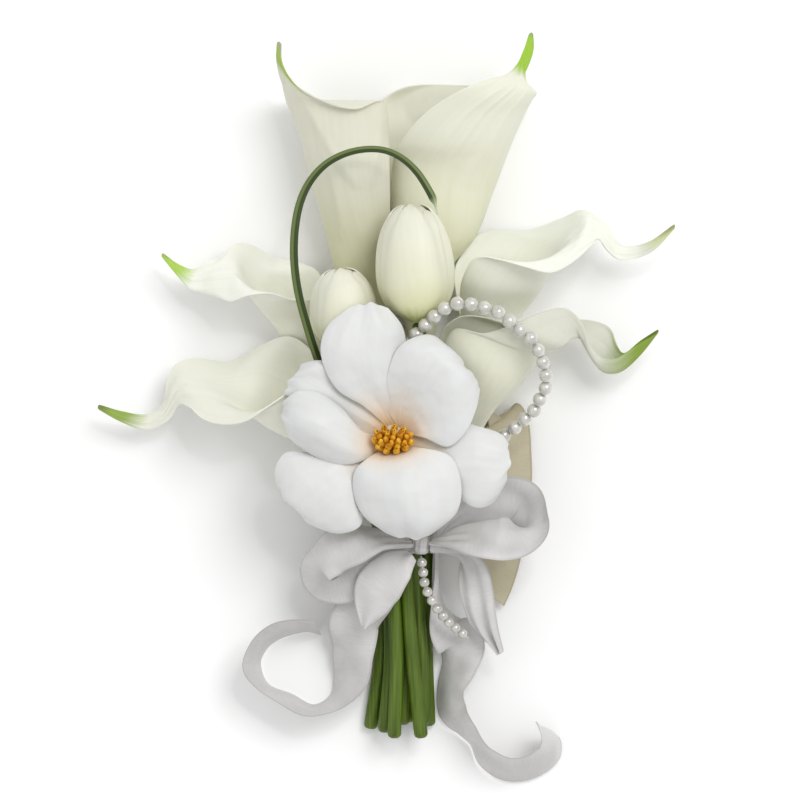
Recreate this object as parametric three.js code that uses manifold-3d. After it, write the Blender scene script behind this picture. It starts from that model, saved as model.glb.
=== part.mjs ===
// A bridal hand bouquet of moulded flowers, lying on its back.
// Millimetres. X is to the right, Y points from the cut stems to the flowers, Z is up, and Z = 0 is the
// surface that the bouquet lies on. The origin is under the middle of the bouquet.
import * as THREE from 'three';
import { mergeVertices } from 'three/addons/utils/BufferGeometryUtils.js';
import Module from 'manifold-3d';

const wasm = await Module();
wasm.setup();

// Driving dimensions
const PETAL_THICK = 0.8;
const STEM_RADIUS = 3.5;
const RIBBON_WIDTH = 25;
const RIBBON_THICK = 0.6;
const SEAM = 0.9;
const SEAT_GAP = 0.3;
const STEM_INSERT = 1;
const FLAT_BELOW = 0.1;
const SHIFT = new THREE.Vector3(-0.6, -0.4, 0);

const COLOURS = {
  cream: '#e6e7d6',
  white: '#eff0ec',
  yellow: '#e0a63c',
  green: '#5f7a34',
  blade: '#46541f',
  satin: '#cfcdca',
  beige: '#aaa58a',
  pearl: '#f0efe6',
};

const bouquet = new THREE.Group();

function vec(p) {
  return new THREE.Vector3(p[0], p[1], p[2]);
}

function smoothCurve(points) {
  return new THREE.CatmullRomCurve3(points.map(vec), false, 'centripetal');
}

function addPiece(name, geometry, colour, roughness = 0.6) {
  const material = new THREE.MeshStandardMaterial({ color: COLOURS[colour], roughness, metalness: 0 });
  const mesh = new THREE.Mesh(geometry, material);
  mesh.name = name;
  mesh.position.copy(SHIFT);
  bouquet.add(mesh);
  return mesh;
}

// Joining and cutting

function toSolid(geometry) {
  const bare = geometry.clone();
  bare.deleteAttribute('normal');
  bare.deleteAttribute('uv');
  const merged = mergeVertices(bare, 1e-4);
  const mesh = new wasm.Mesh({
    numProp: 3,
    vertProperties: new Float32Array(merged.attributes.position.array),
    triVerts: new Uint32Array(merged.index.array),
  });
  return new wasm.Manifold(mesh);
}

function toGeometry(solid) {
  const mesh = solid.getMesh();
  const geometry = new THREE.BufferGeometry();
  geometry.setAttribute('position', new THREE.BufferAttribute(new Float32Array(mesh.vertProperties), 3));
  geometry.setIndex(new THREE.BufferAttribute(new Uint32Array(mesh.triVerts), 1));
  return geometry;
}

// Joins solids into one body. Hollows that the join seals are filled, and loose scraps are dropped.
function fuse(geometries) {
  const bodies = geometries.map(toSolid).reduce((all, one) => all.add(one)).decompose();
  return toGeometry(bodies.reduce((largest, body) => (body.volume() > largest.volume() ? body : largest)));
}

// A thin closed sheet round a surface. at(u, v) gives the middle surface and thickAt(u) the thickness,
// with u and v from 0 to 1. Both faces are split into triangles alike, so that they stay parallel where
// the sheet is waved, and the sheet lies flat where it would sink below the surface.
function sheet(at, rows, columns, thickAt) {
  const grid = [];
  const halves = [];
  for (let i = 0; i <= rows; i += 1) {
    for (let j = 0; j <= columns; j += 1) {
      const point = at(i / rows, j / columns);
      const half = thickAt(i / rows) / 2;
      point.z = Math.max(point.z, half);
      grid.push(point);
      halves.push(half);
    }
  }
  const index = (i, j) => i * (columns + 1) + j;
  const normals = grid.map((_, k) => {
    const i = Math.floor(k / (columns + 1));
    const j = k % (columns + 1);
    const along = grid[index(Math.min(i + 1, rows), j)].clone().sub(grid[index(Math.max(i - 1, 0), j)]);
    const across = grid[index(i, Math.min(j + 1, columns))].clone();
    across.sub(grid[index(i, Math.max(j - 1, 0))]);
    return along.cross(across).normalize();
  });
  const count = grid.length;
  const positions = [];
  for (const side of [1, -1]) {
    grid.forEach((point, k) => {
      const p = point.clone().addScaledVector(normals[k], side * halves[k]);
      positions.push(p.x, p.y, p.z < FLAT_BELOW ? 0 : p.z);
    });
  }
  const triangles = [];
  for (let i = 0; i < rows; i += 1) {
    for (let j = 0; j < columns; j += 1) {
      const [a, b, c, d] = [index(i, j), index(i + 1, j), index(i + 1, j + 1), index(i, j + 1)];
      triangles.push(a, b, c, a, c, d);
      triangles.push(count + a, count + c, count + b, count + a, count + d, count + c);
    }
  }
  const rim = [];
  for (let j = 0; j < columns; j += 1) rim.push(index(0, j));
  for (let i = 0; i < rows; i += 1) rim.push(index(i, columns));
  for (let j = columns; j > 0; j -= 1) rim.push(index(rows, j));
  for (let i = rows; i > 0; i -= 1) rim.push(index(i, 0));
  rim.forEach((a, k) => {
    const b = rim[(k + 1) % rim.length];
    triangles.push(a, b, count + b, a, count + b, count + a);
  });
  const geometry = new THREE.BufferGeometry();
  geometry.setAttribute('position', new THREE.BufferAttribute(new Float32Array(positions), 3));
  geometry.setIndex(triangles);
  return geometry;
}

function even(thickness) {
  return () => thickness;
}

// A tube along a smooth curve, closed at both ends
function tube(points, radius, sides, steps) {
  const section = new THREE.Shape();
  for (let k = 0; k < sides; k += 1) {
    const angle = (2 * Math.PI * (k + 0.5)) / sides;
    const [x, y] = [radius * Math.cos(angle), radius * Math.sin(angle)];
    if (k === 0) section.moveTo(x, y);
    else section.lineTo(x, y);
  }
  section.closePath();
  const extrudePath = smoothCurve(points);
  return new THREE.ExtrudeGeometry(section, { steps, bevelEnabled: false, extrudePath });
}

// Calla lilies. Each spathe is one rolled leaf: a far margin, a rib and a near margin run from the foot
// of the funnel to the tip, and each cross-section is the arc through those three. Past the share of the
// half arc that ROLL_START gives, the margin rolls outwards.
const ROLL_START = 0.7;

function funnelRing(centre, axis, ribSide, radius) {
  const rib = ribSide.clone().addScaledVector(axis, -ribSide.dot(axis)).normalize();
  const across = rib.clone().cross(axis).normalize();
  const seam = centre.clone().addScaledVector(rib, -radius);
  return {
    rib: centre.clone().addScaledVector(rib, radius),
    far: seam.clone().addScaledVector(across, across.z > 0 ? -SEAM / 2 : SEAM / 2),
    near: seam.clone().addScaledVector(across, across.z > 0 ? SEAM / 2 : -SEAM / 2),
  };
}

function arcThrough(far, rib, near, depth, curl) {
  const [a, b, c] = [far, rib, near].map((p) => new THREE.Vector3(p.x, p.y, p.z / depth));
  const ab = a.clone().sub(b);
  const cb = c.clone().sub(b);
  const normal = ab.clone().cross(cb);
  const toCentre = cb.clone().multiplyScalar(ab.lengthSq()).addScaledVector(ab, -cb.lengthSq());
  toCentre.cross(normal).divideScalar(2 * normal.lengthSq());
  const radius = toCentre.length();
  const centre = b.clone().add(toCentre);
  const u = toCentre.clone().negate().normalize();
  normal.normalize();
  let v = normal.clone().cross(u);
  const turn = (p) => {
    const d = p.clone().sub(centre);
    const angle = Math.atan2(d.dot(v), d.dot(u));
    return angle < 0 ? angle + 2 * Math.PI : angle;
  };
  if (turn(c) > turn(a)) v = v.negate();
  const nearTurn = turn(c);
  const farTurn = 2 * Math.PI - turn(a);
  return (s) => {
    const angle = s < 0 ? s * farTurn : s * nearTurn;
    const edge = Math.max(0, (Math.abs(s) - ROLL_START) / (1 - ROLL_START));
    const r = radius + curl * edge * edge;
    const p = centre.clone().addScaledVector(u, r * Math.cos(angle));
    p.addScaledVector(v, r * Math.sin(angle));
    p.z *= depth;
    return p;
  };
}

// Foot: where the stem enters. Rings: centre and radius of the funnel. Lip: far, rib and near points from
// where the margins part to the tip, and how far the margin rolls outwards there.
const CALLAS = {
  calla_1: {
    depth: 0.9,
    ribSide: [-1, -0.25, 0.35],
    rings: [[3, 30, 11], [-3, 50, 14, 8], [-12, 70, 18, 12]],
    lip: [
      [[1.2, 92, 15], [-29.5, 90, 26], [2.2, 89, 27], 0],
      [[1.5, 110, 14], [-34.6, 108, 31], [2.2, 104, 37], 0.5],
      [[0.8, 128, 12], [-39.2, 126, 34], [1.6, 119, 41], 1],
      [[-1, 144, 8], [-42.4, 142, 37], [0.6, 137, 41], 2],
      [[-12, 152, 3], [-44.6, 152, 38], [-2.6, 153.5, 43], 3],
      [[-30, 154, 1.5], [-46.3, 158, 40], [-15, 149.5, 52], 2],
      [[-45, 156, 14], [-47.6, 162, 40], [-30, 152.5, 52], 1],
      [[-51.8, 165, 32], [-49.2, 166, 40], [-43.5, 160, 46], 0.5],
      [[-54, 175, 35], [-52.8, 175.5, 37.6], [-51.5, 173, 38.5], 0],
      [[-53.6, 183, 36], [-53, 184, 36.8], [-52.2, 182.5, 36.5], 0],
    ],
  },
  calla_2: {
    depth: 0.82,
    ribSide: [1, -0.25, 0.45],
    rings: [[17.5, 30, 11], [17.7, 50, 13.5, 8.3], [17.8, 69, 17, 12]],
    lip: [
      [[4, 92, 18], [43.5, 86, 28], [4.5, 90, 24], 0],
      [[3, 120, 16], [49, 113, 36], [4.5, 121, 31], 1],
      [[2, 140, 10], [58.6, 134, 41], [9, 134, 47], 2],
      [[0.5, 155, 6], [65.8, 148, 42], [21.5, 148.5, 58], 2],
      [[11, 162.5, 4], [70.8, 155, 42], [37, 158.5, 62], 2],
      [[42, 163.5, 2], [72.8, 159.5, 42], [50, 164, 58], 1],
      [[62, 162.5, 20], [68.5, 165, 42], [59, 166.5, 51], 0.5],
      [[70, 169, 38], [68.5, 171.5, 43], [65.5, 172, 45], 0],
      [[74, 180, 37], [72, 181, 39], [69.5, 180, 40], 0],
      [[73.6, 187.5, 37], [73, 188.5, 37.6], [72.2, 187.5, 37.8], 0],
    ],
  },
  calla_3: {
    depth: 0.9,
    ribSide: [-0.85, -0.5, 0],
    rings: [[-18, -2, 8.5], [-26, 16, 9.5, 8], [-35.5, 34, 12, 11.5]],
    lip: [
      [[-29, 56, 9], [-56, 43, 16], [-31, 51, 25], 0],
      [[-34, 69, 9], [-63, 52, 22], [-38, 55, 37], 1],
      [[-43, 73.5, 6], [-67.5, 58, 25], [-46, 56, 44], 2],
      [[-56, 77, 5], [-71, 64, 26], [-56, 59, 47], 2],
      [[-67, 83, 8], [-75, 70, 26], [-67, 57.5, 45], 2],
      [[-76, 82.5, 14], [-80, 71, 25], [-76, 54, 37], 1],
      [[-83, 76, 18], [-86, 69, 24], [-84, 56.5, 29], 0],
      [[-90, 74.5, 18], [-91, 67, 22], [-91, 58.5, 23], 0],
      [[-96, 70.5, 18], [-97, 66, 20.5], [-97.5, 60.5, 20], 0],
      [[-104, 73, 17], [-104, 71, 19], [-104.5, 68, 18.5], 0],
      [[-111.5, 78.6, 20], [-112, 78, 20.4], [-112, 77.2, 20.2], 0],
    ],
  },
  calla_4: {
    depth: 0.78,
    ribSide: [-0.66, -0.75, 0],
    rings: [[-13, -25, 22], [-23, -16, 27, 8.5], [-32, -7, 32, 12.5]],
    lip: [
      [[-28, 19, 30], [-47, -14, 32], [-31, 16, 42], 0],
      [[-38, 30, 28.5], [-57, -9.5, 33], [-40, 15, 49], 1],
      [[-48, 35.5, 25], [-66, -3, 33], [-50, 8.5, 52], 2],
      [[-61, 32.5, 15], [-74, 2, 32], [-60, 1.5, 52], 2],
      [[-76, 24, 10], [-82, 6, 31], [-68, -4.5, 49], 3],
      [[-92, 26, 11], [-91, 9, 28], [-80, -6, 44], 3],
      [[-103, 23, 14], [-99, 11, 25], [-90, -4, 37], 2],
      [[-109, 13, 15], [-104.5, 8, 22], [-97, 1, 30], 1],
      [[-110.5, 4.5, 15], [-107.5, 2.5, 20], [-102.5, 3, 24], 0],
      [[-114, 0.5, 14], [-111.5, -3, 18], [-108, -5, 20], 0],
      [[-120, -2.5, 13], [-120, -6, 16], [-120, -10, 16], 0],
      [[-133, -0.7, 16], [-133, -3, 18], [-133, -5.5, 17.5], 0],
      [[-143.6, 2.6, 20], [-144, 1.8, 20.4], [-144, 0.8, 20], 0],
    ],
  },
  calla_5: {
    depth: 0.8,
    ribSide: [1, -0.3, 0],
    rings: [[41, 3, 10], [44.5, 20, 11, 8], [49, 37, 13.5, 11]],
    lip: [
      [[35.5, 58, 18], [72, 53, 20], [37.5, 56, 29], 0],
      [[35.8, 71, 17], [79, 63, 24], [39, 65, 39], 1],
      [[41, 80, 13], [82.5, 70, 27], [46, 76, 50], 2],
      [[49, 89, 7], [86, 76, 29], [57, 75, 56], 2],
      [[71, 90, 4], [90, 83, 30], [68, 71.5, 58], 2],
      [[88, 95.5, 8], [96, 90, 28], [81, 68, 53], 2],
      [[98, 99, 16], [101, 94.5, 27], [92, 73, 45], 2],
      [[106.5, 96, 21], [106, 91.5, 26], [101.5, 81.5, 36], 1],
      [[112, 91, 23], [109.5, 87.5, 26.5], [106.5, 85.5, 30], 0],
      [[115.5, 85.5, 22], [113, 82.5, 25], [111, 80, 27.5], 0],
      [[119.5, 82.2, 20], [118, 78.5, 23.5], [117, 75.2, 24.5], 0],
      [[126, 82.2, 22], [126, 79, 24.5], [126, 76, 24.5], 0],
      [[134, 85, 28], [134, 82.5, 29.5], [134.5, 80, 29], 0],
      [[144.8, 92.8, 33], [145, 92.2, 33.5], [145, 91.4, 33.2], 0],
    ],
  },
  calla_6: {
    depth: 0.58,
    ribSide: [0.87, -0.45, 0],
    rings: [[33, -27, 22], [38, -12, 27, 8.5], [42, 3, 34, 12.5]],
    lip: [
      [[27, 28, 37], [65.5, 11.5, 39], [28, 28, 46], 0],
      [[29, 39, 39], [73.5, 21, 42], [35, 40, 51], 1],
      [[39, 46, 39.5], [79.5, 28.5, 45], [49, 38, 57], 2],
      [[57, 45, 37.5], [87, 32.8, 43], [63, 42, 59], 2],
      [[79, 44, 22], [92.5, 35.5, 37], [77, 49, 55], 2],
      [[95, 46.5, 15], [97.5, 36, 29], [90, 51.5, 43], 2],
      [[106, 44.5, 18], [101.5, 31.5, 25], [98.5, 44, 36], 1],
      [[113, 41, 20], [105.5, 25, 24], [102.5, 33, 32], 0],
      [[116, 33, 20], [111, 19.5, 22], [108, 26.5, 29], 0],
      [[119.5, 28.5, 20], [118.5, 20, 22], [114.5, 25.5, 27.5], 0],
      [[127.5, 34.5, 21], [128, 28, 23], [124.5, 31.5, 26], 0],
      [[136.6, 40.4, 25], [137, 39.6, 25.5], [136.6, 38.8, 25.8], 0],
    ],
  },
};

function spathe(calla) {
  const ribSide = vec(calla.ribSide);
  const centres = calla.rings.map(vec);
  const footRadius = (STEM_RADIUS + PETAL_THICK / 2 + 1.5 * SEAT_GAP) / calla.depth;
  const stations = calla.rings.map((ring, k) => {
    const before = centres[Math.max(k - 1, 0)];
    const after = centres[Math.min(k + 1, centres.length - 1)];
    const axis = after.clone().sub(before).normalize();
    return { ...funnelRing(centres[k], axis, ribSide, k === 0 ? footRadius : ring[3]), curl: 0 };
  });
  for (const [far, rib, near, curl] of calla.lip) {
    stations.push({ far: vec(far), rib: vec(rib), near: vec(near), curl });
  }
  const arcs = stations.map((s) => arcThrough(s.far, s.rib, s.near, calla.depth, s.curl));
  const lines = new Map();
  return (u, v) => {
    if (!lines.has(v)) {
      const points = arcs.map((arc) => arc(2 * v - 1));
      lines.set(v, new THREE.CatmullRomCurve3(points, false, 'centripetal'));
    }
    return lines.get(v).getPoint(u);
  };
}

for (const [name, calla] of Object.entries(CALLAS)) {
  const rows = calla.rings.length + calla.lip.length;
  addPiece(`${name}_spathe`, sheet(spathe(calla), rows, 10, even(PETAL_THICK)), 'cream');
}

// The yellow spadix stands inside each funnel, on the end of the stem.
const SPADIX_RADIUS = 2.6;
const SPADIX_LENGTH = 34;

function funnelAxis({ rings, lip }) {
  const [far, rib, near] = lip[0].slice(0, 3).map(vec);
  const mouth = far.add(near).multiplyScalar(0.25).addScaledVector(rib, 0.5);
  return smoothCurve([...rings, mouth.toArray()]);
}

for (const [name, calla] of Object.entries(CALLAS)) {
  const axis = funnelAxis(calla);
  const start = STEM_INSERT + SEAT_GAP;
  const marks = [start, start + SPADIX_LENGTH / 2, start + SPADIX_LENGTH];
  const points = marks.map((mark) => axis.getPointAt(mark / axis.getLength()).toArray());
  addPiece(`${name}_spadix`, tube(points, SPADIX_RADIUS, 8, 4), 'yellow');
}

// Tulips: six petals in two layers, closed round a core. The profile gives the share of the height and
// of the radius.
const BUD_PROFILE = [[0, 0.26], [0.1, 0.72], [0.32, 1], [0.58, 0.96], [0.86, 0.68], [1, 0.24]];
const BUD_PETALS = 6;
const BUD_PETAL_THICK = 2.6;
const BUD_EDGE_THINNER = 1.2;
const BUD_SPREAD = 1.08;
const BUD_LAYER = 1.1;
const BUD_INNER_REACH = 0.91;
const BUD_SKIN = 2;
const CORE_STEPS = 8;

function profileAt(profile, u) {
  const found = profile.findIndex((p, i) => i > 0 && p[0] >= u - 1e-9);
  const [a, b] = [profile[found - 1], profile[found]];
  const t = (u - a[0]) / (b[0] - a[0]);
  return a[1] + (b[1] - a[1]) * t * (1.5 - t / 2);
}

function budCore(radius, height) {
  const outline = [new THREE.Vector2(0, 0)];
  for (let i = 0; i < CORE_STEPS; i += 1) {
    const u = (0.9 * i) / CORE_STEPS;
    outline.push(new THREE.Vector2(radius * profileAt(BUD_PROFILE, u) - BUD_SKIN + 0.3, height * u));
  }
  outline.push(new THREE.Vector2(radius * 0.3, height * 0.88), new THREE.Vector2(0, height * 0.86));
  return new THREE.LatheGeometry(outline, 12);
}

function tulip({ foot, top, radius, turn }) {
  const base = vec(foot);
  const axis = vec(top).sub(base);
  const height = axis.length();
  axis.normalize();
  const side = new THREE.Vector3(1, 0, 0).addScaledVector(axis, -axis.x).normalize();
  const front = side.clone().cross(axis);
  const petal = (k) => {
    const inner = k % 2 === 1;
    const middle = turn + (2 * Math.PI * k) / BUD_PETALS;
    return (u, v) => {
      const spread = BUD_SPREAD * Math.sqrt(Math.max(0.012, 1 - Math.abs((u - 0.42) / 0.6) ** 3));
      const angle = middle + (2 * v - 1) * spread;
      const r = radius * profileAt(BUD_PROFILE, u) - BUD_SKIN + (inner ? 0 : BUD_LAYER);
      const p = base.clone().addScaledVector(axis, height * u * (inner ? BUD_INNER_REACH : 1));
      return p.addScaledVector(side, r * Math.cos(angle)).addScaledVector(front, r * Math.sin(angle));
    };
  };
  const core = budCore(radius, height);
  core.applyMatrix4(new THREE.Matrix4().makeBasis(side, axis, side.clone().cross(axis)).setPosition(base));
  const parts = [core];
  for (let k = 0; k < BUD_PETALS; k += 1) {
    parts.push(sheet(petal(k), 6, 4, (u) => BUD_PETAL_THICK - BUD_EDGE_THINNER * u ** 3));
  }
  return fuse(parts);
}

const TULIPS = {
  tulip_1: { foot: [16.6, 44.5, 49.5], top: [12.8, 103, 57], radius: 19.4, turn: 1.65 },
  tulip_2: { foot: [-18.7, 31.5, 44.5], top: [-22.5, 71, 49], radius: 16.8, turn: 1.45 },
};

for (const [name, shape] of Object.entries(TULIPS)) addPiece(`${name}_bloom`, tulip(shape), 'cream');

// The open flower: seven broad petals round a cup
const FLOWER_MIDDLE = [4, -13.5];
const CUP_BASE = 45.5;
const CUP_TOP = 52;
const CUP_RADIUS = 9;
const CUP_FOOT_RADIUS = 4.5;
const FLOWER_PETAL_THICK = 0.9;

// Stations from the throat to the tip. Each has a point on the left edge, on the crown and on the right
// edge, seen from the throat. The petals rise from the cup, swell, and turn down towards their ends.
const FLOWER_PETALS = [
  [
    [[1.5, -9, 51], [3.5, -8, 51], [6, -9, 51]],
    [[-10, 1.5, 59], [-0.5, 2.5, 57], [7.5, 1, 58]],
    [[-24.5, 11, 65], [-7.5, 16, 65], [8.5, 16, 65]],
    [[-32, 29, 66], [-9.5, 30, 69], [10.5, 33, 66]],
    [[-28.5, 41.5, 65], [-8.5, 42.5, 69], [8.5, 42, 65]],
    [[-17.5, 50.5, 65.5], [-8.5, 53, 66], [1.5, 51, 63.5]],
  ],
  [
    [[-1, -13.5, 51], [0, -11.5, 51], [1.5, -9.5, 51]],
    [[-15.5, -11, 54.5], [-13, -2.5, 56], [-7, 5, 56]],
    [[-32.5, -3.5, 57.5], [-29.5, 8, 61.5], [-19, 19, 61]],
    [[-43.5, 5, 58], [-40, 14.5, 62.5], [-31.5, 24.5, 61]],
    [[-50, 8, 55], [-47, 15, 57], [-40.5, 22.5, 57]],
  ],
  [
    [[-0.5, -16.5, 51], [-1.5, -14.5, 51], [-1, -12.5, 51]],
    [[-10.5, -25, 60], [-11.5, -18.5, 62], [-10.5, -11, 59]],
    [[-22, -27, 61.5], [-23.5, -13, 70], [-22, 1.5, 64]],
    [[-36.5, -22, 60], [-38, -7, 70.5], [-34, 9.5, 63]],
    [[-47, -14, 58], [-47, -2.5, 65], [-43, 11, 60]],
    [[-50, -7, 55.5], [-51, -0.5, 57], [-48.5, 6, 56.5]],
  ],
  [
    [[0.5, -18, 51], [-0.5, -17, 51], [-1, -15.5, 51]],
    [[-7.5, -32, 55], [-14.5, -26, 58], [-19.5, -21, 55]],
    [[-11, -45, 56.5], [-25.5, -35, 62.5], [-36.5, -21, 57.5]],
    [[-16.5, -58, 55.5], [-35.5, -42, 63], [-49.5, -21, 57.5]],
    [[-26, -61, 52.5], [-44.5, -48.5, 58], [-54.5, -29.5, 55]],
    [[-35.5, -58, 50.5], [-46, -47.5, 52.5], [-52.5, -39.5, 51.5]],
  ],
  [
    [[9, -11.5, 51], [9.5, -14.5, 51], [9, -16.5, 51]],
    [[23, -9, 54.5], [23.5, -21, 57], [20.5, -29, 54]],
    [[35, -5.5, 57.5], [36, -26, 61.5], [32, -40, 55.5]],
    [[46.5, -8, 58.5], [48.5, -27.5, 62.5], [45, -48.5, 55.5]],
    [[57.5, -12, 56], [58, -28.5, 59], [53, -46.5, 53.5]],
    [[60.5, -16.5, 53.5], [62, -26, 54.5], [59, -37.5, 52.5]],
  ],
  [
    [[7, -18.5, 51], [4, -19.5, 51], [1, -18.5, 51]],
    [[19.5, -19, 62], [4.5, -25, 64], [-9.5, -24.5, 62]],
    [[33, -23, 63], [8.5, -35, 70], [-15, -30, 63]],
    [[38, -36, 62.5], [11, -46, 70.5], [-16, -40, 62]],
    [[36, -50.5, 60], [12, -57, 67], [-11, -52, 59.5]],
    [[24, -61.5, 56], [12.5, -64, 58], [0, -60.5, 56]],
  ],
  [
    [[6.5, -9, 51], [8, -10, 51], [9.5, -12, 51]],
    [[2, 3, 55], [12.5, -1, 57], [20, -14, 60]],
    [[1.5, 18.5, 61], [20, 11, 66], [31, -18.5, 63]],
    [[7, 34, 63], [29, 21, 71], [39.5, -12, 64]],
    [[22.5, 37.5, 64.5], [38, 21, 68], [45.5, 1, 62]],
    [[33.5, 29, 60], [42, 19.5, 61], [47.5, 11, 59]],
  ],
];

function flowerPetal(stations) {
  const [left, crown, right] = [0, 1, 2].map((k) => smoothCurve(stations.map((station) => station[k])));
  return (u, v) => {
    const w = 2 * v - 1;
    const p = crown.getPoint(u).multiplyScalar(1 - w * w);
    p.addScaledVector(left.getPoint(u), (w * w - w) / 2);
    return p.addScaledVector(right.getPoint(u), (w * w + w) / 2);
  };
}

function openFlower() {
  const cup = new THREE.LatheGeometry([
    new THREE.Vector2(0, CUP_BASE),
    new THREE.Vector2(CUP_FOOT_RADIUS, CUP_BASE),
    new THREE.Vector2(CUP_RADIUS, CUP_TOP - 2),
    new THREE.Vector2(CUP_RADIUS - 1.5, CUP_TOP),
    new THREE.Vector2(0, CUP_TOP),
  ], 14);
  cup.rotateX(Math.PI / 2);
  cup.translate(...FLOWER_MIDDLE, 0);
  const petals = FLOWER_PETALS.map((petal) => sheet(flowerPetal(petal), 7, 6, even(FLOWER_PETAL_THICK)));
  return fuse([cup, ...petals]);
}

addPiece('open_flower_petals', openFlower(), 'white');

// Stamens curl out from round a short pistil, all rooted in a small disc. They lean towards the top petal.
const STAMENS = 9;
const STAMEN_RADIUS = 1.15;
const STAMEN_TURN = 0.35;
const STAMEN_OVAL = 0.62;
const STAMEN_FOOT = [4, -15.5];
const STAMEN_SLOPE = 0.32;
const PISTIL_RADIUS = 1.5;
const DISC_RADIUS = 3.5;
const DISC_THICK = 1.4;
// Reach from the middle and height above the disc's underside
const STAMEN_LINE = [[2.2, 0.7], [4.6, 6], [7.8, 11.5], [9.5, 12.5]];

function stamens() {
  const [x, y] = STAMEN_FOOT;
  const foot = CUP_TOP + SEAT_GAP;
  const disc = new THREE.CylinderGeometry(DISC_RADIUS, DISC_RADIUS, DISC_THICK, 10);
  disc.rotateX(Math.PI / 2);
  disc.translate(x, y, foot + DISC_THICK / 2);
  const rise = (z) => [x, y + STAMEN_SLOPE * z, foot + z];
  const pistil = tube([rise(0.5), rise(7), rise(14)], PISTIL_RADIUS, 6, 3);
  const parts = [disc, pistil];
  for (let k = 0; k < STAMENS; k += 1) {
    const angle = (2 * Math.PI * k) / STAMENS + STAMEN_TURN;
    const [out, up] = [Math.cos(angle), STAMEN_OVAL * Math.sin(angle)];
    const place = ([reach, z]) => [x + reach * out, y + reach * up + STAMEN_SLOPE * z, foot + z];
    parts.push(tube(STAMEN_LINE.map(place), STAMEN_RADIUS, 5, 4));
  }
  return fuse(parts);
}

addPiece('open_flower_stamens', stamens(), 'yellow');

// Stems, from the cut foot up to just short of the flower. They pass the tie in three layers.
const STEMS = {
  calla_1: [[2.5, -160, 3.3], [5.6, -120, 4.6], [5.7, -75, 6], [5.5, -35, 7], [4.5, 0, 8.5]],
  calla_2: [[12, -157, 3.3], [13.1, -120, 4.6], [13.1, -75, 6], [13.3, -35, 7], [15.5, 0, 8.5]],
  calla_3: [[-7.5, -160.5, 3.3], [-1.9, -120, 4.6], [-1.8, -75, 6], [-5, -45, 7], [-12, -20, 8]],
  calla_4: [[-0.4, -162, 10.9], [3, -120, 12.2], [-0.2, -75, 13.5], [-4.5, -52, 16]],
  calla_5: [[22, -159, 3.3], [20.6, -120, 4.6], [20.5, -75, 6], [24, -45, 7], [33, -20, 8.5]],
  calla_6: [[19.5, -158, 10.9], [18.2, -120, 12.2], [14.8, -75, 13.5], [19, -55, 16]],
  tulip_1: [[18.2, -164.5, 18.5], [13.4, -120, 19.8], [10.6, -75, 21], [12, -35, 28], [16, 10, 41]],
  tulip_2: [[9, -158, 10.9], [10.6, -120, 12.2], [7.3, -75, 13.5], [1.4, -38, 20.5], [-9, 0, 33]],
  open_flower: [[4.6, -164.5, 18.5], [5.8, -120, 19.8], [3.1, -75, 21], [3.6, -45, 26], [4.6, -24, 32]],
};

// The last stretch runs straight into the flower, along its axis.
const STEM_LEAD = 8;

function stemEnd(name) {
  let top = new THREE.Vector3(...FLOWER_MIDDLE, CUP_BASE - SEAT_GAP);
  let direction = new THREE.Vector3(0, 0, 1);
  if (CALLAS[name]) {
    const axis = funnelAxis(CALLAS[name]);
    direction = axis.getTangentAt(0);
    top = axis.getPointAt(STEM_INSERT / axis.getLength());
  }
  if (TULIPS[name]) {
    const foot = vec(TULIPS[name].foot);
    direction = vec(TULIPS[name].top).sub(foot).normalize();
    top = foot.addScaledVector(direction, -SEAT_GAP - PETAL_THICK);
  }
  return [top.clone().addScaledVector(direction, -STEM_LEAD).toArray(), top.toArray()];
}

for (const [name, points] of Object.entries(STEMS)) {
  points.push(...stemEnd(name));
  addPiece(`${name}_stem`, tube(points, STEM_RADIUS, 8, 11), 'green');
}

// The grass blade: a folded strip bent in an arch
const BLADE_PATH = [
  [-1, -60, 27], [-9, -35, 34], [-20, -8, 42], [-27, 8, 47], [-33, 24, 51], [-38.5, 41, 56], [-43, 58.5, 62],
  [-45, 73.5, 66], [-44.3, 88, 68], [-41, 104, 68], [-35, 113, 68], [-28, 120.5, 68.5], [-18, 126.3, 69],
  [-8, 128.2, 70], [0.5, 127.7, 71], [8, 124.5, 72], [15, 118, 73], [21, 109, 74], [24.5, 102.5, 74],
  [26.2, 96.5, 73],
];

const BLADE_THICK = 0.8;
const BLADE_HALF_WIDTH = 2.3;
const BLADE_NARROWS = 0.6;
const BLADE_APEX = 0.82;
const BLADE_TWIST = 0.12;
const BLADE_END_HALF = 0.3;
const BLADE_END_TAPER = 22;
const BLADE_FOLD = 0.8;

function blade() {
  const path = smoothCurve(BLADE_PATH);
  const at = (u, v) => {
    const p = path.getPointAt(u);
    const t = path.getTangentAt(u);
    const out = new THREE.Vector3(t.y, -t.x, 0).normalize();
    const up = out.clone().cross(t).normalize();
    const w = 2 * v - 1;
    const twist = Math.exp(-(((u - BLADE_APEX) / BLADE_TWIST) ** 2));
    const end = Math.min(1, BLADE_END_HALF + (1 - u) * BLADE_END_TAPER);
    const half = (BLADE_HALF_WIDTH - BLADE_NARROWS * twist) * end;
    return p.addScaledVector(out, half * w).addScaledVector(up, -BLADE_FOLD * Math.abs(w));
  };
  return sheet(at, 30, 2, even(BLADE_THICK));
}

addPiece('grass_blade', blade(), 'blade');

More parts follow.
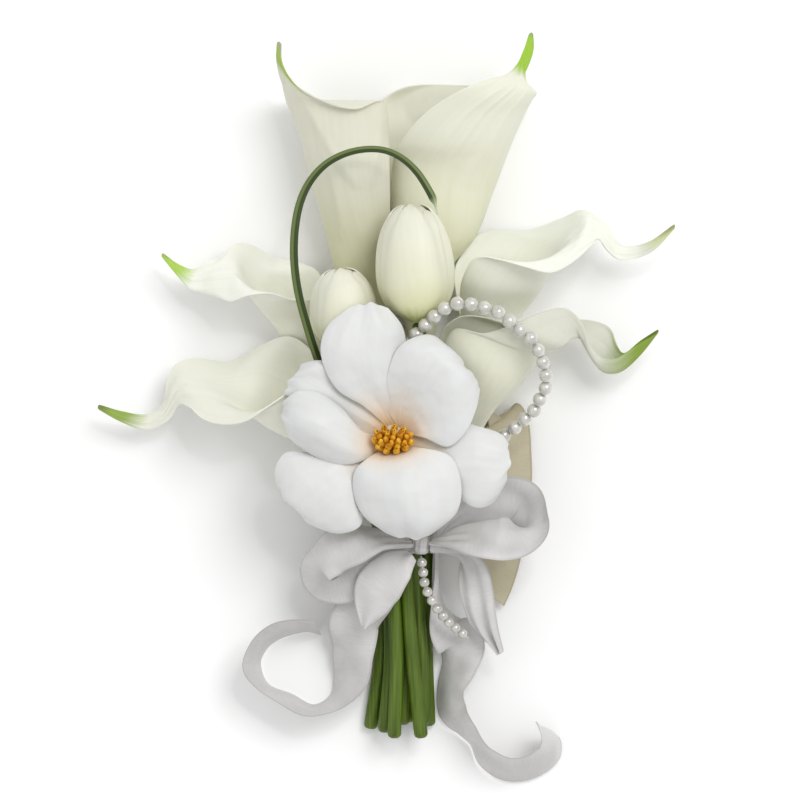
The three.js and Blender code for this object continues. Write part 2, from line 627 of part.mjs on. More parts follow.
// Pearl strands: beads at even steps on a thread
const THREAD_RADIUS = 0.5;
const UPPER_BEAD = 7;
const LOWER_BEAD = 5;
const FIRST_BEAD = 0.75;
const UPPER_STRAND = [
  [11.8, 24, 46.5], [10.5, 31, 52.5], [15.5, 37.5, 57.5], [20, 42, 60.5], [24, 46, 63.5], [28.5, 49.5, 66],
  [33, 52, 68], [39.7, 53, 68.5], [46.5, 51, 68.5], [54, 49.5, 68.5], [60, 45.5, 68], [65.5, 40.5, 67],
  [72, 36, 65.5], [76, 29.5, 64], [78.5, 23.3, 61.5], [80, 16, 59], [79.5, 9.8, 56], [76.5, 4.5, 53],
  [74, -0.5, 50], [69.5, -4.5, 47.3], [65, -8.5, 45], [60.5, -12, 43], [54, -15.5, 41], [46, -17.5, 37.5],
  [38.5, -17, 34.2],
];
const LOWER_STRAND = [
  [18, -72.9, 31], [18.6, -78, 33], [19.3, -83, 33], [20, -88, 33], [22, -92.5, 32.5], [24.5, -97, 31.5],
  [27.3, -101, 30], [30.5, -105, 27.5], [34.2, -108.3, 25], [38, -111.5, 22.5], [42, -114.5, 20.5],
];

function strand(points, bead) {
  const line = smoothCurve(points);
  const length = line.getLength();
  const parts = [tube(points, THREAD_RADIUS, 5, points.length)];
  for (let mark = FIRST_BEAD * bead; mark < length - bead / 2; mark += bead) {
    const ball = new THREE.SphereGeometry(bead / 2, 6, 5);
    ball.rotateX(Math.PI / 2);
    ball.translate(...line.getPointAt(mark / length).toArray());
    parts.push(ball);
  }
  return fuse(parts);
}

addPiece('pearl_strand_upper', strand(UPPER_STRAND, UPPER_BEAD), 'pearl', 0.25);
addPiece('pearl_strand_lower', strand(LOWER_STRAND, LOWER_BEAD), 'pearl', 0.25);

// Ribbon pieces. Each point: x, y, z, roll of the ribbon about its line in degrees, width.
const W = RIBBON_WIDTH;
const RIBBONS = {
  bow_left_loop: [
    [13, -66, 36.5, 75, 9], [-2, -63.5, 43, 50, 18], [-15, -66, 46, 32, W], [-26, -71, 43, 30, W],
    [-33, -79, 38, 50, W], [-29, -85, 33.5, 25, W], [-17, -83.5, 32.5, 5, W], [-3, -75.5, 33, 25, 18],
    [13, -69, 31, 65, 8],
  ],
  bow_right_loop: [
    [23.4, -66, 36.5, 105, 9], [37, -64, 43, 130, 18], [50, -64.5, 46, 143, W], [62, -64, 44, 150, W],
    [73.5, -58.5, 38, 130, W], [69, -46, 32, 150, W], [57, -45, 31, 160, W], [38, -53, 31, 140, 18],
    [23.6, -65.5, 29, 110, 8],
  ],
  bow_left_short_tail: [
    [13, -72, 37.5, 25, 8], [6, -77.5, 39.5, 12, 19], [-3, -88, 39, 6, 24], [-7, -98, 36.5, 4, 18],
    [-10.5, -109, 33.5, 0, 3],
  ],
  bow_right_short_tail: [
    [22.8, -69.6, 33, 80, 8], [31, -70, 34, 85, 8], [38, -71.5, 34.5, 70, 12], [43, -79, 34, 35, 17],
    [45.5, -92, 32, 20, 18], [49, -107, 28.5, 28, 15], [57.5, -122, 25, 40, 4],
  ],
  bow_left_long_tail: [
    [7, -76.5, 25.4, 0, 13], [1.5, -84, 25.6, 4, 19], [-6, -93, 25, 6, 23], [-15, -105, 21, 5, W],
    [-16.5, -122, 15.5, 33, W], [-18, -135, 13, 45, W], [-25, -146, 12.5, 68, W], [-37, -150.5, 13, 80, W],
    [-49, -145, 13, 74, W], [-60.5, -139, 13, 77, W], [-66.5, -129, 13, 71, W], [-63, -118.5, 13, 69, W],
    [-54, -111.5, 13, 70, W], [-40, -109, 13, 72, W], [-31.5, -110, 13, 72, W],
  ],
  bow_right_long_tail: [
    [26, -68.5, 9.5, -90, 12], [26.4, -84, 11, -88, 14], [27.2, -98, 12, -72, 20], [31, -109, 13, -40, 24],
    [38, -118, 13, 12, W], [37, -128, 12.5, 45, W], [32.5, -140, 12.5, 57, W], [33.5, -151, 12.5, 52, W],
    [40, -160, 13, 70, W], [45, -166.5, 13, 72, W], [51, -175, 13, 62, W], [62, -181, 13, 61, W],
    [73, -179.5, 13, 58, W], [82.5, -173, 13, 60, W], [83.5, -165, 13, 67, W], [78, -154, 13, 72, 20],
  ],
  backing_ribbon: [
    [26, -66.3, 9.5, 80, 13], [37.5, -50, 4.5, 15, 20], [48, -20, 3.2, 8, 22], [54, -3.5, 4.6, 10, 22],
    [60, -4, 9, 165, 22], [62, -25, 11, 160, W], [61.5, -45, 11.5, 155, W], [59, -65, 11.5, 150, W],
    [55, -82, 11.5, 150, W], [50, -95, 11.5, 145, W],
  ],
};

function ribbon(points) {
  const path = smoothCurve(points);
  const rolls = new THREE.CatmullRomCurve3(points.map((p) => new THREE.Vector3(p[3], p[4], 0)));
  const at = (u, v) => {
    const p = path.getPoint(u);
    const t = path.getTangent(u);
    const roll = rolls.getPoint(u);
    const flat = new THREE.Vector3(-t.y, t.x, 0).normalize();
    const up = t.clone().cross(flat).normalize();
    const angle = (roll.x * Math.PI) / 180;
    const offset = roll.y * (v - 0.5);
    return p.addScaledVector(flat, offset * Math.cos(angle)).addScaledVector(up, offset * Math.sin(angle));
  };
  return sheet(at, points.length * 2, 2, even(RIBBON_THICK));
}

// The ribbon band hugs all the stems at the tie.
const BAND_MIDDLE = [9, 13];
const BAND_TOP = -61;
const BAND_LENGTH = 11;
const BAND_GAP = 0.5;
const BAND_SWEEP = 1.4;

function stemCentresAt(y) {
  return Object.values(STEMS).map((points) => {
    const samples = smoothCurve(points).getPoints(200);
    const k = samples.findIndex((p) => p.y >= y);
    return samples[k];
  });
}

// The outline of a taut wrap: each point is the nearest place where a tangent line of the bundle passes.
function bandOutline(y, offset, sides) {
  const centres = stemCentresAt(y);
  const reach = (angle) => Math.max(...centres.map((c) => (c.x - BAND_MIDDLE[0]) * Math.cos(angle)
    + (c.z - BAND_MIDDLE[1]) * Math.sin(angle))) + STEM_RADIUS + offset;
  const outline = [];
  for (let k = 0; k < sides; k += 1) {
    const angle = (2 * Math.PI * k) / sides;
    let radius = Infinity;
    for (let turn = -BAND_SWEEP; turn <= BAND_SWEEP; turn += 0.05) {
      radius = Math.min(radius, reach(angle + turn) / Math.cos(turn));
    }
    const [x, z] = [BAND_MIDDLE[0] + radius * Math.cos(angle), BAND_MIDDLE[1] + radius * Math.sin(angle)];
    outline.push(new THREE.Vector3(x, y, z));
  }
  return outline;
}

function band() {
  const [rows, sides] = [2, 40];
  const positions = [];
  for (const offset of [BAND_GAP, BAND_GAP + RIBBON_THICK]) {
    for (let i = 0; i <= rows; i += 1) {
      const y = BAND_TOP - (BAND_LENGTH * i) / rows;
      bandOutline(y, offset, sides).forEach((p) => positions.push(p.x, p.y, Math.max(p.z, 0)));
    }
  }
  const index = (wall, i, k) => (wall * (rows + 1) + i) * sides + (k % sides);
  const triangles = [];
  const quad = (a, b, c, d) => triangles.push(a, b, c, a, c, d);
  for (let k = 0; k < sides; k += 1) {
    for (let i = 0; i < rows; i += 1) {
      quad(index(1, i, k), index(1, i, k + 1), index(1, i + 1, k + 1), index(1, i + 1, k));
      quad(index(0, i, k), index(0, i + 1, k), index(0, i + 1, k + 1), index(0, i, k + 1));
    }
    quad(index(0, 0, k), index(0, 0, k + 1), index(1, 0, k + 1), index(1, 0, k));
    quad(index(0, rows, k), index(1, rows, k), index(1, rows, k + 1), index(0, rows, k + 1));
  }
  const geometry = new THREE.BufferGeometry();
  geometry.setAttribute('position', new THREE.BufferAttribute(new Float32Array(positions), 3));
  geometry.setIndex(triangles);
  return geometry;
}

addPiece('ribbon_band', band(), 'satin', 0.5);

// The knot is a gathered wrap, pinched at its middle.
const KNOT_CENTRE = [18, -67, 31];
const KNOT_SIZE = [8.6, 10.4, 18];

function knot() {
  const profile = [[0, -0.5], [0.36, -0.5], [0.5, -0.3], [0.46, 0], [0.5, 0.3], [0.36, 0.5], [0, 0.5]];
  const wrap = new THREE.LatheGeometry(profile.map((p) => new THREE.Vector2(...p)), 14);
  const place = wrap.attributes.position;
  for (let k = 0; k < place.count; k += 1) {
    const [x, y, z] = [place.getX(k), place.getY(k), place.getZ(k)];
    place.setXYZ(k, x * KNOT_SIZE[0], y * KNOT_SIZE[1], z * KNOT_SIZE[2]);
  }
  wrap.translate(...KNOT_CENTRE);
  return wrap;
}

addPiece('ribbon_knot', knot(), 'satin', 0.5);

for (const [name, points] of Object.entries(RIBBONS)) {
  addPiece(name, ribbon(points), name === 'backing_ribbon' ? 'beige' : 'satin', 0.5);
}

export default bouquet;
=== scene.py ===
"""The look of a hand-tied bridal bouquet that lies on its back.

Lengths in the tables are millimetres: X is to the right, Y points from the cut stems to the flowers and
Z is up. SHIFT and MM turn them into the model's metres.
"""

import math

import bpy
from mathutils import Matrix, Vector


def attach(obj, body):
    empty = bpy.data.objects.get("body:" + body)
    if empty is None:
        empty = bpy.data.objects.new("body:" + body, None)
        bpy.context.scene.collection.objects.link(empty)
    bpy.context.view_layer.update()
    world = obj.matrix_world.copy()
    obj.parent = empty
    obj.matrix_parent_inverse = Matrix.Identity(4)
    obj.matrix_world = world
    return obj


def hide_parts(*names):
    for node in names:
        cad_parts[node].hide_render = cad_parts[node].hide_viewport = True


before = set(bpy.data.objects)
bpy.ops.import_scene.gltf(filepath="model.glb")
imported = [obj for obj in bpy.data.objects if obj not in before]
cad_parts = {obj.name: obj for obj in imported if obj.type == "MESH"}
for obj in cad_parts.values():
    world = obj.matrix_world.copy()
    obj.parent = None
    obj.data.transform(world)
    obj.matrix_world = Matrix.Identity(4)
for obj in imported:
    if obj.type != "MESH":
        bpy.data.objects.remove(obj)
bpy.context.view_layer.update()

MM = 0.001
SHIFT = Vector((-0.6, -0.4, 0))

# Camera: straight above, far off, so that the picture is 400 mm wide at the middle of the bouquet
CAMERA_AWAY = 4.0
CAMERA_PLANE = 0.03
PICTURE_WIDTH = 0.4
PICTURE_MIDDLE = (0.0069, 0.0046)
CAMERA_SEES = 20
SENSOR = 36

# Driving sizes
PETAL_THICK = 0.8
STEM_RADIUS = 3.5
RIBBON_WIDTH = 25
RIBBON_THICK = 0.35
SEAM = 0.4
SEAT_GAP = 0.3
STEM_INSERT = 1
STEM_LEAD = 8
# Sides of a stem and of a spadix
ROUND_SIDES = 20
# Ring centres that lie closer than this are set apart, so that the line between them has a direction
CENTRE_STEP = 1e-4
# Vertices that lie closer than this, in metres, are one
MERGE_WITHIN = 1e-6
# Faces that meet at less than this are shaded as one round surface, in degrees
ROUND_ANGLE = 50


def rgb(red, green, blue):
    """A colour given as it looks on a screen, 0 to 255, as linear light."""
    parts = [c / 255 for c in (red, green, blue)]
    return (*[p / 12.92 if p < 0.04045 else ((p + 0.055) / 1.055) ** 2.4 for p in parts], 1)


# Lines and surfaces


def spline_point(a, b, c, d, w):
    """A point between b and c on the smooth curve through a, b, c and d."""
    before, here, after = [max((q - p).length, 1e-6) ** 0.5 for p, q in ((a, b), (b, c), (c, d))]
    start = (b - a) / before - (c - a) / (before + here) + (c - b) / here
    end = (c - b) / here - (d - b) / (here + after) + (d - c) / after
    start, end = start * here, end * here
    bend = 3 * (c - b) - 2 * start - end
    twist = 2 * (b - c) + start + end
    return b + start * w + bend * w * w + twist * w**3


def smooth_curve(points):
    """The smooth curve through points. Equal steps of its share, 0 to 1, go from point to point."""
    points = [Vector(p) for p in points]
    held = [2 * points[0] - points[1], *points, 2 * points[-1] - points[-2]]
    spans = len(points) - 1

    def at(share):
        place = min(max(share, 0), 1) * spans
        k = min(int(place), spans - 1)
        return spline_point(*held[k : k + 4], place - k)

    return at


class Line:
    """A smooth curve through points that can be walked by distance."""

    def __init__(self, points, per_span=24):
        curve = smooth_curve(points)
        count = per_span * (len(points) - 1)
        self.points = [curve(i / count) for i in range(count + 1)]
        self.marks = [0.0]
        for p, q in zip(self.points, self.points[1:]):
            self.marks.append(self.marks[-1] + (q - p).length)
        self.length = self.marks[-1]

    def point(self, distance):
        distance = min(max(distance, 0), self.length)
        low, high = 0, len(self.marks) - 1
        while high - low > 1:
            middle = (low + high) // 2
            if self.marks[middle] <= distance:
                low = middle
            else:
                high = middle
        part = (distance - self.marks[low]) / max(self.marks[high] - self.marks[low], 1e-9)
        return self.points[low].lerp(self.points[high], part)

    def direction(self, distance):
        return (self.point(distance + 0.5) - self.point(distance - 0.5)).normalized()


def carried_sides(centres):
    """For each centre a side vector across the line, carried along it without twist."""
    along = [(q - p).normalized() for p, q in zip(centres, centres[1:])]
    along.append(along[-1])
    side = along[0].orthogonal().normalized()
    sides = []
    for direction in along:
        side = (side - direction * side.dot(direction)).normalized()
        sides.append((side, direction.cross(side)))
    return sides


def smooth_step(value, low, high):
    """A soft step from 0 at low to 1 at high."""
    share = min(max((value - low) / (high - low), 0), 1)
    return share * share * (3 - 2 * share)


def swell(value, low, full, fading, gone):
    """Rises softly from 0 at low to 1 at full, and falls from fading to 0 at gone."""
    return smooth_step(value, low, full) * (1 - smooth_step(value, fading, gone))


# Mesh helpers


def only(piece):
    """Selects that piece alone and makes it the active one."""
    bpy.ops.object.select_all(action="DESELECT")
    piece.select_set(True)
    bpy.context.view_layer.objects.active = piece


def surface(name, rows, columns, at, cloth=(1, 1)):
    """A grid primitive whose vertex at shares (u, v) is moved to at(u, v), in millimetres.

    cloth stretches its UV map, so that a weave keeps its scale on a long ribbon.
    """
    bpy.ops.object.select_all(action="DESELECT")
    bpy.ops.mesh.primitive_grid_add(x_subdivisions=rows, y_subdivisions=columns, size=1)
    piece = bpy.context.object
    piece.name = name
    for vertex in piece.data.vertices:
        vertex.co = (at(vertex.co.x + 0.5, vertex.co.y + 0.5) + SHIFT) * MM
    if cloth != (1, 1):
        for corner in piece.data.uv_layers.active.data:
            corner.uv = (corner.uv[0] * cloth[0], corner.uv[1] * cloth[1])
    return piece


def finish_with(piece, kind, **settings):
    """Adds one modifier and applies it."""
    modifier = piece.modifiers.new(kind, kind)
    for key, value in settings.items():
        setattr(modifier, key, value)
    only(piece)
    bpy.ops.object.modifier_apply(modifier=modifier.name)


def thicken(piece, thickness):
    """Gives a sheet its thickness, and rounds it."""
    finish_with(piece, "SOLIDIFY", thickness=thickness * MM, offset=0)
    finish_with(piece, "SUBSURF", levels=1, render_levels=1)
    bpy.ops.object.shade_smooth()


def close_seams(piece):
    """Joins the two edges of a rolled grid and turns its faces outwards."""
    only(piece)
    bpy.ops.object.mode_set(mode="EDIT")
    bpy.ops.mesh.select_all(action="SELECT")
    bpy.ops.mesh.remove_doubles(threshold=MERGE_WITHIN)
    bpy.ops.mesh.normals_make_consistent(inside=False)
    bpy.ops.object.mode_set(mode="OBJECT")
    bpy.ops.object.shade_smooth()


def tube(name, points, rings, sides):
    """A closed tube along the smooth curve. Each ring is (distance along it, radius)."""
    line = Line(points)
    centres = [line.point(distance) for distance, _ in rings]
    for k in range(1, len(centres)):
        if (centres[k] - centres[k - 1]).length < CENTRE_STEP:
            centres[k] = centres[k] + line.direction(rings[k][0]) * CENTRE_STEP
    frames = carried_sides(centres)

    def at(u, v):
        k = round(u * (len(rings) - 1))
        side, up = frames[k]
        turn = 2 * math.pi * v
        return centres[k] + rings[k][1] * (side * math.cos(turn) + up * math.sin(turn))

    piece = surface(name, len(rings) - 1, sides, at)
    close_seams(piece)
    return piece


def rounded_rings(length, radius, edge, step):
    """Rings for a tube whose ends are rounded over edge, about a step apart between them."""
    arc = [(1 - math.cos(a), math.sin(a)) for a in (0, 0.35, 0.75, 1.15, math.pi / 2)]
    start = [(edge * x, radius - edge + edge * y) for x, y in arc]
    end = [(length - d, r) for d, r in reversed(start)]
    count = max(2, round((length - 2 * edge) / step))
    middle = [(edge + (length - 2 * edge) * k / count, radius) for k in range(1, count)]
    return [(0, 0), (0, radius * 0.5), *start, *middle, *end, (length, radius * 0.5), (length, 0)]


def spun(name, middle, profile, sides):
    """A closed round piece: a disc that is extruded upwards and scaled from ring to ring of the profile."""
    x, y = [(c + s) * MM for c, s in zip(middle, SHIFT)]
    radius, low = profile[0]
    bpy.ops.object.select_all(action="DESELECT")
    bpy.ops.mesh.primitive_circle_add(
        vertices=sides, radius=radius * MM, fill_type="NGON", location=(x, y, low * MM)
    )
    piece = bpy.context.object
    piece.name = name
    bpy.ops.object.transform_apply(location=True, rotation=False, scale=False)
    bpy.ops.object.mode_set(mode="EDIT")
    bpy.ops.mesh.select_all(action="SELECT")
    for (wide, low), (next_wide, high) in zip(profile, profile[1:]):
        bpy.ops.mesh.extrude_region_move(TRANSFORM_OT_translate={"value": (0, 0, (high - low) * MM)})
        grow = next_wide / wide
        bpy.ops.transform.resize(value=(grow, grow, 1), center_override=(x, y, high * MM))
    bpy.ops.mesh.select_all(action="SELECT")
    bpy.ops.mesh.normals_make_consistent(inside=False)
    bpy.ops.object.mode_set(mode="OBJECT")
    bpy.ops.object.shade_smooth_by_angle(angle=math.radians(ROUND_ANGLE))
    return piece


def join(name, parts):
    """Joins finished pieces into the first one."""
    bpy.ops.object.select_all(action="DESELECT")
    for part in parts:
        part.select_set(True)
    bpy.context.view_layer.objects.active = parts[0]
    bpy.ops.object.join()
    parts[0].name = name
    return parts[0]


def show(piece, node, material):
    """Gives a piece its finish and lets it stand for its node."""
    piece.data.materials.clear()
    piece.data.materials.append(material)
    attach(piece, "root")
    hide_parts(node)


# Finishes


class Finish:
    """A material under construction: a Principled shader and short ways to add nodes to it."""

    def __init__(self, name, roughness, **sockets):
        self.material = bpy.data.materials.new(name)
        self.material.use_nodes = True
        self.nodes = self.material.node_tree.nodes
        self.shader = self.nodes["Principled BSDF"]
        self.shader.inputs["Roughness"].default_value = roughness
        for key, value in sockets.items():
            self.shader.inputs[key.replace("_", " ")].default_value = value

    def link(self, source, target):
        self.material.node_tree.links.new(source, target)

    def node(self, kind, **settings):
        node = self.nodes.new(kind)
        for key, value in settings.items():
            setattr(node, key, value)
        return node

    def mapped(self, source, scale):
        place = self.node("ShaderNodeTexCoord")
        mapping = self.node("ShaderNodeMapping")
        mapping.inputs["Scale"].default_value = scale
        self.link(place.outputs[source], mapping.inputs["Vector"])
        return mapping.outputs["Vector"]

    def uv(self, scale=(1, 1, 1)):
        return self.mapped("UV", scale)

    def place(self, scale):
        """The place in space, in metres, scaled alike or by axis."""
        return self.mapped("Object", scale if isinstance(scale, tuple) else (scale, scale, scale))

    def share(self, axis):
        """The UV map's share along (X) or across (Y) the sheet."""
        split = self.node("ShaderNodeSeparateXYZ")
        self.link(self.uv(), split.inputs[0])
        return split.outputs[axis]

    def noise(self, where, detail=2):
        noise = self.node("ShaderNodeTexNoise")
        noise.inputs["Scale"].default_value = 1
        noise.inputs["Detail"].default_value = detail
        self.link(where, noise.inputs["Vector"])
        return noise.outputs["Fac"]

    def ramp(self, value, stops):
        """Colours by value. Each stop is (value, colour)."""
        ramp = self.node("ShaderNodeValToRGB")
        points = ramp.color_ramp.elements
        while len(points) < len(stops):
            points.new(0.5)
        for point, (at, colour) in zip(points, stops):
            point.position = at
            point.color = colour
        self.link(value, ramp.inputs["Fac"])
        return ramp.outputs["Color"]

    def mix(self, share, first, second, blend="MIX"):
        mix = self.node("ShaderNodeMix", data_type="RGBA", blend_type=blend)
        if isinstance(share, (int, float)):
            mix.inputs[0].default_value = share
        else:
            self.link(share, mix.inputs[0])
        for socket, colour in ((mix.inputs[6], first), (mix.inputs[7], second)):
            if isinstance(colour, tuple):
                socket.default_value = colour
            else:
                self.link(colour, socket)
        return mix.outputs[2]

    def maths(self, operation, first, second):
        maths = self.node("ShaderNodeMath", operation=operation)
        for socket, value in zip(maths.inputs, (first, second)):
            if isinstance(value, (int, float)):
                socket.default_value = value
            else:
                self.link(value, socket)
        return maths.outputs[0]

    def swing(self, value, amount):
        """A value from 0 to 1 as a swing to both sides of nought, of that amount in all."""
        return self.maths("MULTIPLY", self.maths("SUBTRACT", value, 0.5), amount)

    def bump(self, height, strength, distance_mm):
        """Lays a relief over those that the shader has already."""
        bump = self.node("ShaderNodeBump")
        bump.inputs["Strength"].default_value = strength
        bump.inputs["Distance"].default_value = distance_mm * MM
        self.link(height, bump.inputs["Height"])
        if self.shader.inputs["Normal"].is_linked:
            before = self.shader.inputs["Normal"].links[0].from_socket
            self.link(before, bump.inputs["Normal"])
        self.link(bump.outputs["Normal"], self.shader.inputs["Normal"])

    def colour(self, source):
        self.link(source, self.shader.inputs["Base Color"])


WHITE = (1, 1, 1, 1)
BLACK = (0, 0, 0, 1)

# Pleats across a petal and their depth, veins across it and their depth
CALLA_SKIN = (6, 0.5, 40, 0.08)
TULIP_SKIN = (3, 0.15, 16, 0.02)
FLOWER_SKIN = (3, 0.6, 9, 0.02)


def petal_skin(finish, pleats, pleat_depth, veins, vein_depth):
    """Broad soft pleats along the petal, faint veins, slow dents and a waxy grain."""
    folds = finish.noise(finish.uv((1.1, pleats, 1)))
    lines = finish.noise(finish.uv((1.6, veins, 1)))
    finish.bump(folds, pleat_depth, 1.8)
    finish.bump(finish.noise(finish.place(70)), 0.3, 2.0)
    finish.bump(lines, vein_depth, 0.3)
    finish.bump(finish.noise(finish.place(1400)), 0.1, 0.04)
    return finish.ramp(lines, [(0.3, rgb(251, 251, 248)), (0.6, WHITE)])


def soft_petal(name):
    """A waxy petal that lets some light in."""
    finish = Finish(name, 0.48, Specular_IOR_Level=0.35, Subsurface_Weight=0.15, Subsurface_Scale=0.003)
    finish.shader.inputs["Subsurface Radius"].default_value = (1.0, 0.95, 0.7)
    return finish


def calla_finish(name, foot, body, tip, tip_end, tip_from, tip_blend, tip_slant):
    """Cream spathe with a yellower funnel and a green tip whose colour runs down in streaks."""
    finish = soft_petal(name)
    along, across = finish.share("X"), finish.share("Y")
    drift = finish.swing(finish.noise(finish.uv((1.0, 22, 1))), 0.08)
    slant = finish.swing(across, tip_slant)
    along = finish.maths("ADD", along, finish.maths("ADD", drift, slant))
    # The foot and body colours carry painted shade and painted light, set calla by calla, over the spathe's
    # own cream.
    stops = [
        (0.0, foot), (0.16, foot), (0.44, body), (tip_from - tip_blend, body), (tip_from + tip_blend, tip),
        (0.965, tip), (0.99, tip_end),
    ]
    colour = finish.ramp(along, stops)
    tint = petal_skin(finish, *CALLA_SKIN)
    finish.colour(finish.mix(0.7, colour, tint, "MULTIPLY"))
    return finish.material


def tulip_finish():
    """Cream tulip petals: yellow-green at the foot, and a little pinker and darker along the rims."""
    finish = soft_petal("tulip_petal")
    wander = finish.swing(finish.noise(finish.uv((2, 9, 1))), 0.3)
    stops = [
        (0.0, rgb(190, 200, 124)), (0.14, rgb(219, 219, 176)), (0.4, rgb(224, 224, 198)),
        (0.9, rgb(227, 226, 210)),
    ]
    colour = finish.ramp(finish.maths("ADD", finish.share("X"), wander), stops)
    tint = petal_skin(finish, *TULIP_SKIN)
    # Along both rims the petal turns a little pinker and darker.
    rim_tint = rgb(240, 228, 218)
    rim = finish.ramp(finish.share("Y"), [(0.0, rim_tint), (0.06, WHITE), (0.94, WHITE), (1.0, rim_tint)])
    tint = finish.mix(1.0, tint, rim, "MULTIPLY")
    finish.colour(finish.mix(0.7, colour, tint, "MULTIPLY"))
    return finish.material


def flower_finish():
    """White petal that turns peach in the throat."""
    finish = soft_petal("white_petal")
    wander = finish.swing(finish.noise(finish.uv((0.6, 16, 1))), 0.12)
    stops = [
        (0.0, rgb(216, 178, 130)), (0.06, rgb(220, 194, 160)), (0.13, rgb(222, 204, 184)),
        (0.22, rgb(223, 216, 207)), (0.36, rgb(217, 218, 217)),
    ]
    colour = finish.ramp(finish.maths("ADD", finish.share("X"), wander), stops)
    tint = petal_skin(finish, *FLOWER_SKIN)
    finish.bump(finish.noise(finish.place(95), 1), 0.5, 2.2)
    finish.colour(finish.mix(0.7, colour, tint, "MULTIPLY"))
    return finish.material


def stem_finish():
    """Green stem skin, lined along its length and mottled."""
    finish = Finish(
        "stem_skin", 0.45, Specular_IOR_Level=0.35, Subsurface_Weight=0.05, Subsurface_Scale=0.002
    )
    lines = finish.noise(finish.place((900, 22, 900)), 3)
    mottle = finish.noise(finish.place((60, 25, 60)))
    skin = finish.ramp(lines, [(0.3, rgb(68, 90, 20)), (0.55, rgb(88, 112, 28)), (0.75, rgb(108, 130, 44))])
    shade = finish.ramp(mottle, [(0.35, rgb(214, 210, 190)), (0.65, WHITE)])
    finish.colour(finish.mix(0.8, skin, shade, "MULTIPLY"))
    finish.bump(lines, 0.3, 0.25)
    return finish.material


def blade_finish():
    """Dark green grass with a pale dry tip. Across the blade its colour paints light and shade: a lighter
    outer half, a darker inner half and dark edges.
    """
    finish = Finish("blade_skin", 0.4, Specular_IOR_Level=0.4)
    # Painted light and shade across the fold: the outer half lighter, the inner half darker, and both edges
    # darker still.
    stops = [
        (0.0, rgb(56, 74, 26)), (0.1, rgb(92, 108, 52)), (0.32, rgb(112, 126, 70)), (0.46, rgb(98, 114, 56)),
        (0.53, rgb(44, 60, 20)), (0.85, rgb(56, 74, 26)), (1.0, rgb(40, 56, 18)),
    ]
    lit_and_shaded_halves = finish.ramp(finish.share("Y"), stops)
    lines = finish.noise(finish.uv((12, 40, 1)), 3)
    fibre = finish.ramp(lines, [(0.3, rgb(214, 218, 200)), (0.7, WHITE)])
    green = finish.mix(0.8, lit_and_shaded_halves, fibre, "MULTIPLY")
    pale = finish.ramp(finish.share("X"), [(0.965, BLACK), (0.99, WHITE)])
    finish.colour(finish.mix(pale, green, rgb(196, 204, 176)))
    finish.bump(lines, 0.25, 0.25)
    return finish.material


def ribbon_finish(name, light, shade):
    """Woven satin. Its UV map is in millimetres: threads run across, with slubs and slow changes of tone."""
    finish = Finish(name, 0.5, Specular_IOR_Level=0.35, Sheen_Weight=0.3)
    finish.shader.inputs["Sheen Roughness"].default_value = 0.4
    tone = finish.noise(finish.place(40))
    weft = finish.node("ShaderNodeTexWave", wave_type="BANDS", bands_direction="X")
    weft.inputs["Scale"].default_value = 0.75
    weft.inputs["Distortion"].default_value = 0.8
    weft.inputs["Detail Scale"].default_value = 0.6
    finish.link(finish.uv(), weft.inputs["Vector"])
    slubs = finish.noise(finish.uv((2.4, 0.12, 1)), 3)
    base = finish.ramp(tone, [(0.35, shade), (0.65, light)])
    streak = finish.ramp(slubs, [(0.32, rgb(242, 241, 240)), (0.6, WHITE)])
    # Both long edges of the ribbon are a little darker, and raised by a bump.
    across = finish.maths("DIVIDE", finish.share("Y"), RIBBON_WIDTH)
    edge = rgb(234, 233, 232)
    edge_band = finish.ramp(across, [(0.0, edge), (0.03, edge), (0.06, WHITE), (0.94, WHITE), (0.97, edge)])
    base = finish.mix(1.0, base, edge_band, "MULTIPLY")
    finish.colour(finish.mix(0.6, base, streak, "MULTIPLY"))
    finish.bump(edge_band, 0.25, 0.2)
    finish.bump(finish.noise(finish.place(110)), 0.35, 1.6)
    finish.bump(finish.noise(finish.uv((0.05, 0.55, 1)), 3), 0.22, 0.5)
    finish.bump(slubs, 0.07, 0.15)
    finish.bump(weft.outputs["Fac"], 0.08, 0.06)
    return finish.material


def pearl_finish():
    """Silvery pearl: a cloudy grey body under a clear hard gloss. The body's grey is partly the pearl's own
    and partly painted reflection, darkened for the dark middle that each pearl reflects.
    """
    gloss = {"Coat_Weight": 1.0, "Coat_Roughness": 0.03, "Sheen_Weight": 0.6}
    finish = Finish("pearl_gloss", 0.22, Specular_IOR_Level=0.8, Metallic=0.3, **gloss)
    cloud = finish.noise(finish.place(240))
    # Painted reflection: the body's grey is darkened to stand in for the dark middle each pearl reflects.
    finish.colour(finish.ramp(cloud, [(0.35, rgb(184, 182, 174)), (0.65, rgb(210, 208, 200))]))
    finish.bump(cloud, 0.06, 0.1)
    return finish.material


def stamen_finish():
    """Golden orange, darker and redder in the grain, dusted with pollen."""
    finish = Finish(
        "stamen_gold", 0.6, Specular_IOR_Level=0.3, Subsurface_Weight=0.1, Subsurface_Scale=0.002
    )
    grain = finish.noise(finish.place(380), 4)
    stops = [(0.3, rgb(180, 108, 12)), (0.5, rgb(218, 158, 30)), (0.7, rgb(244, 200, 72))]
    finish.colour(finish.ramp(grain, stops))
    finish.bump(grain, 0.6, 0.5)
    return finish.material


def spadix_finish():
    """The yellow spike is covered in tiny grains."""
    finish = Finish("spadix_yellow", 0.6, Specular_IOR_Level=0.3)
    grains = finish.node("ShaderNodeTexVoronoi")
    grains.inputs["Scale"].default_value = 1
    finish.link(finish.place(1600), grains.inputs["Vector"])
    height = grains.outputs["Distance"]
    finish.colour(finish.ramp(height, [(0.2, rgb(238, 200, 84)), (0.7, rgb(214, 160, 40))]))
    finish.bump(height, 0.6, 0.3)
    return finish.material


# Calla lilies. Each is one rolled leaf: a far margin, a rib and a near margin run from the foot of the
# funnel to the tip, and each cross-section is the arc through those three.

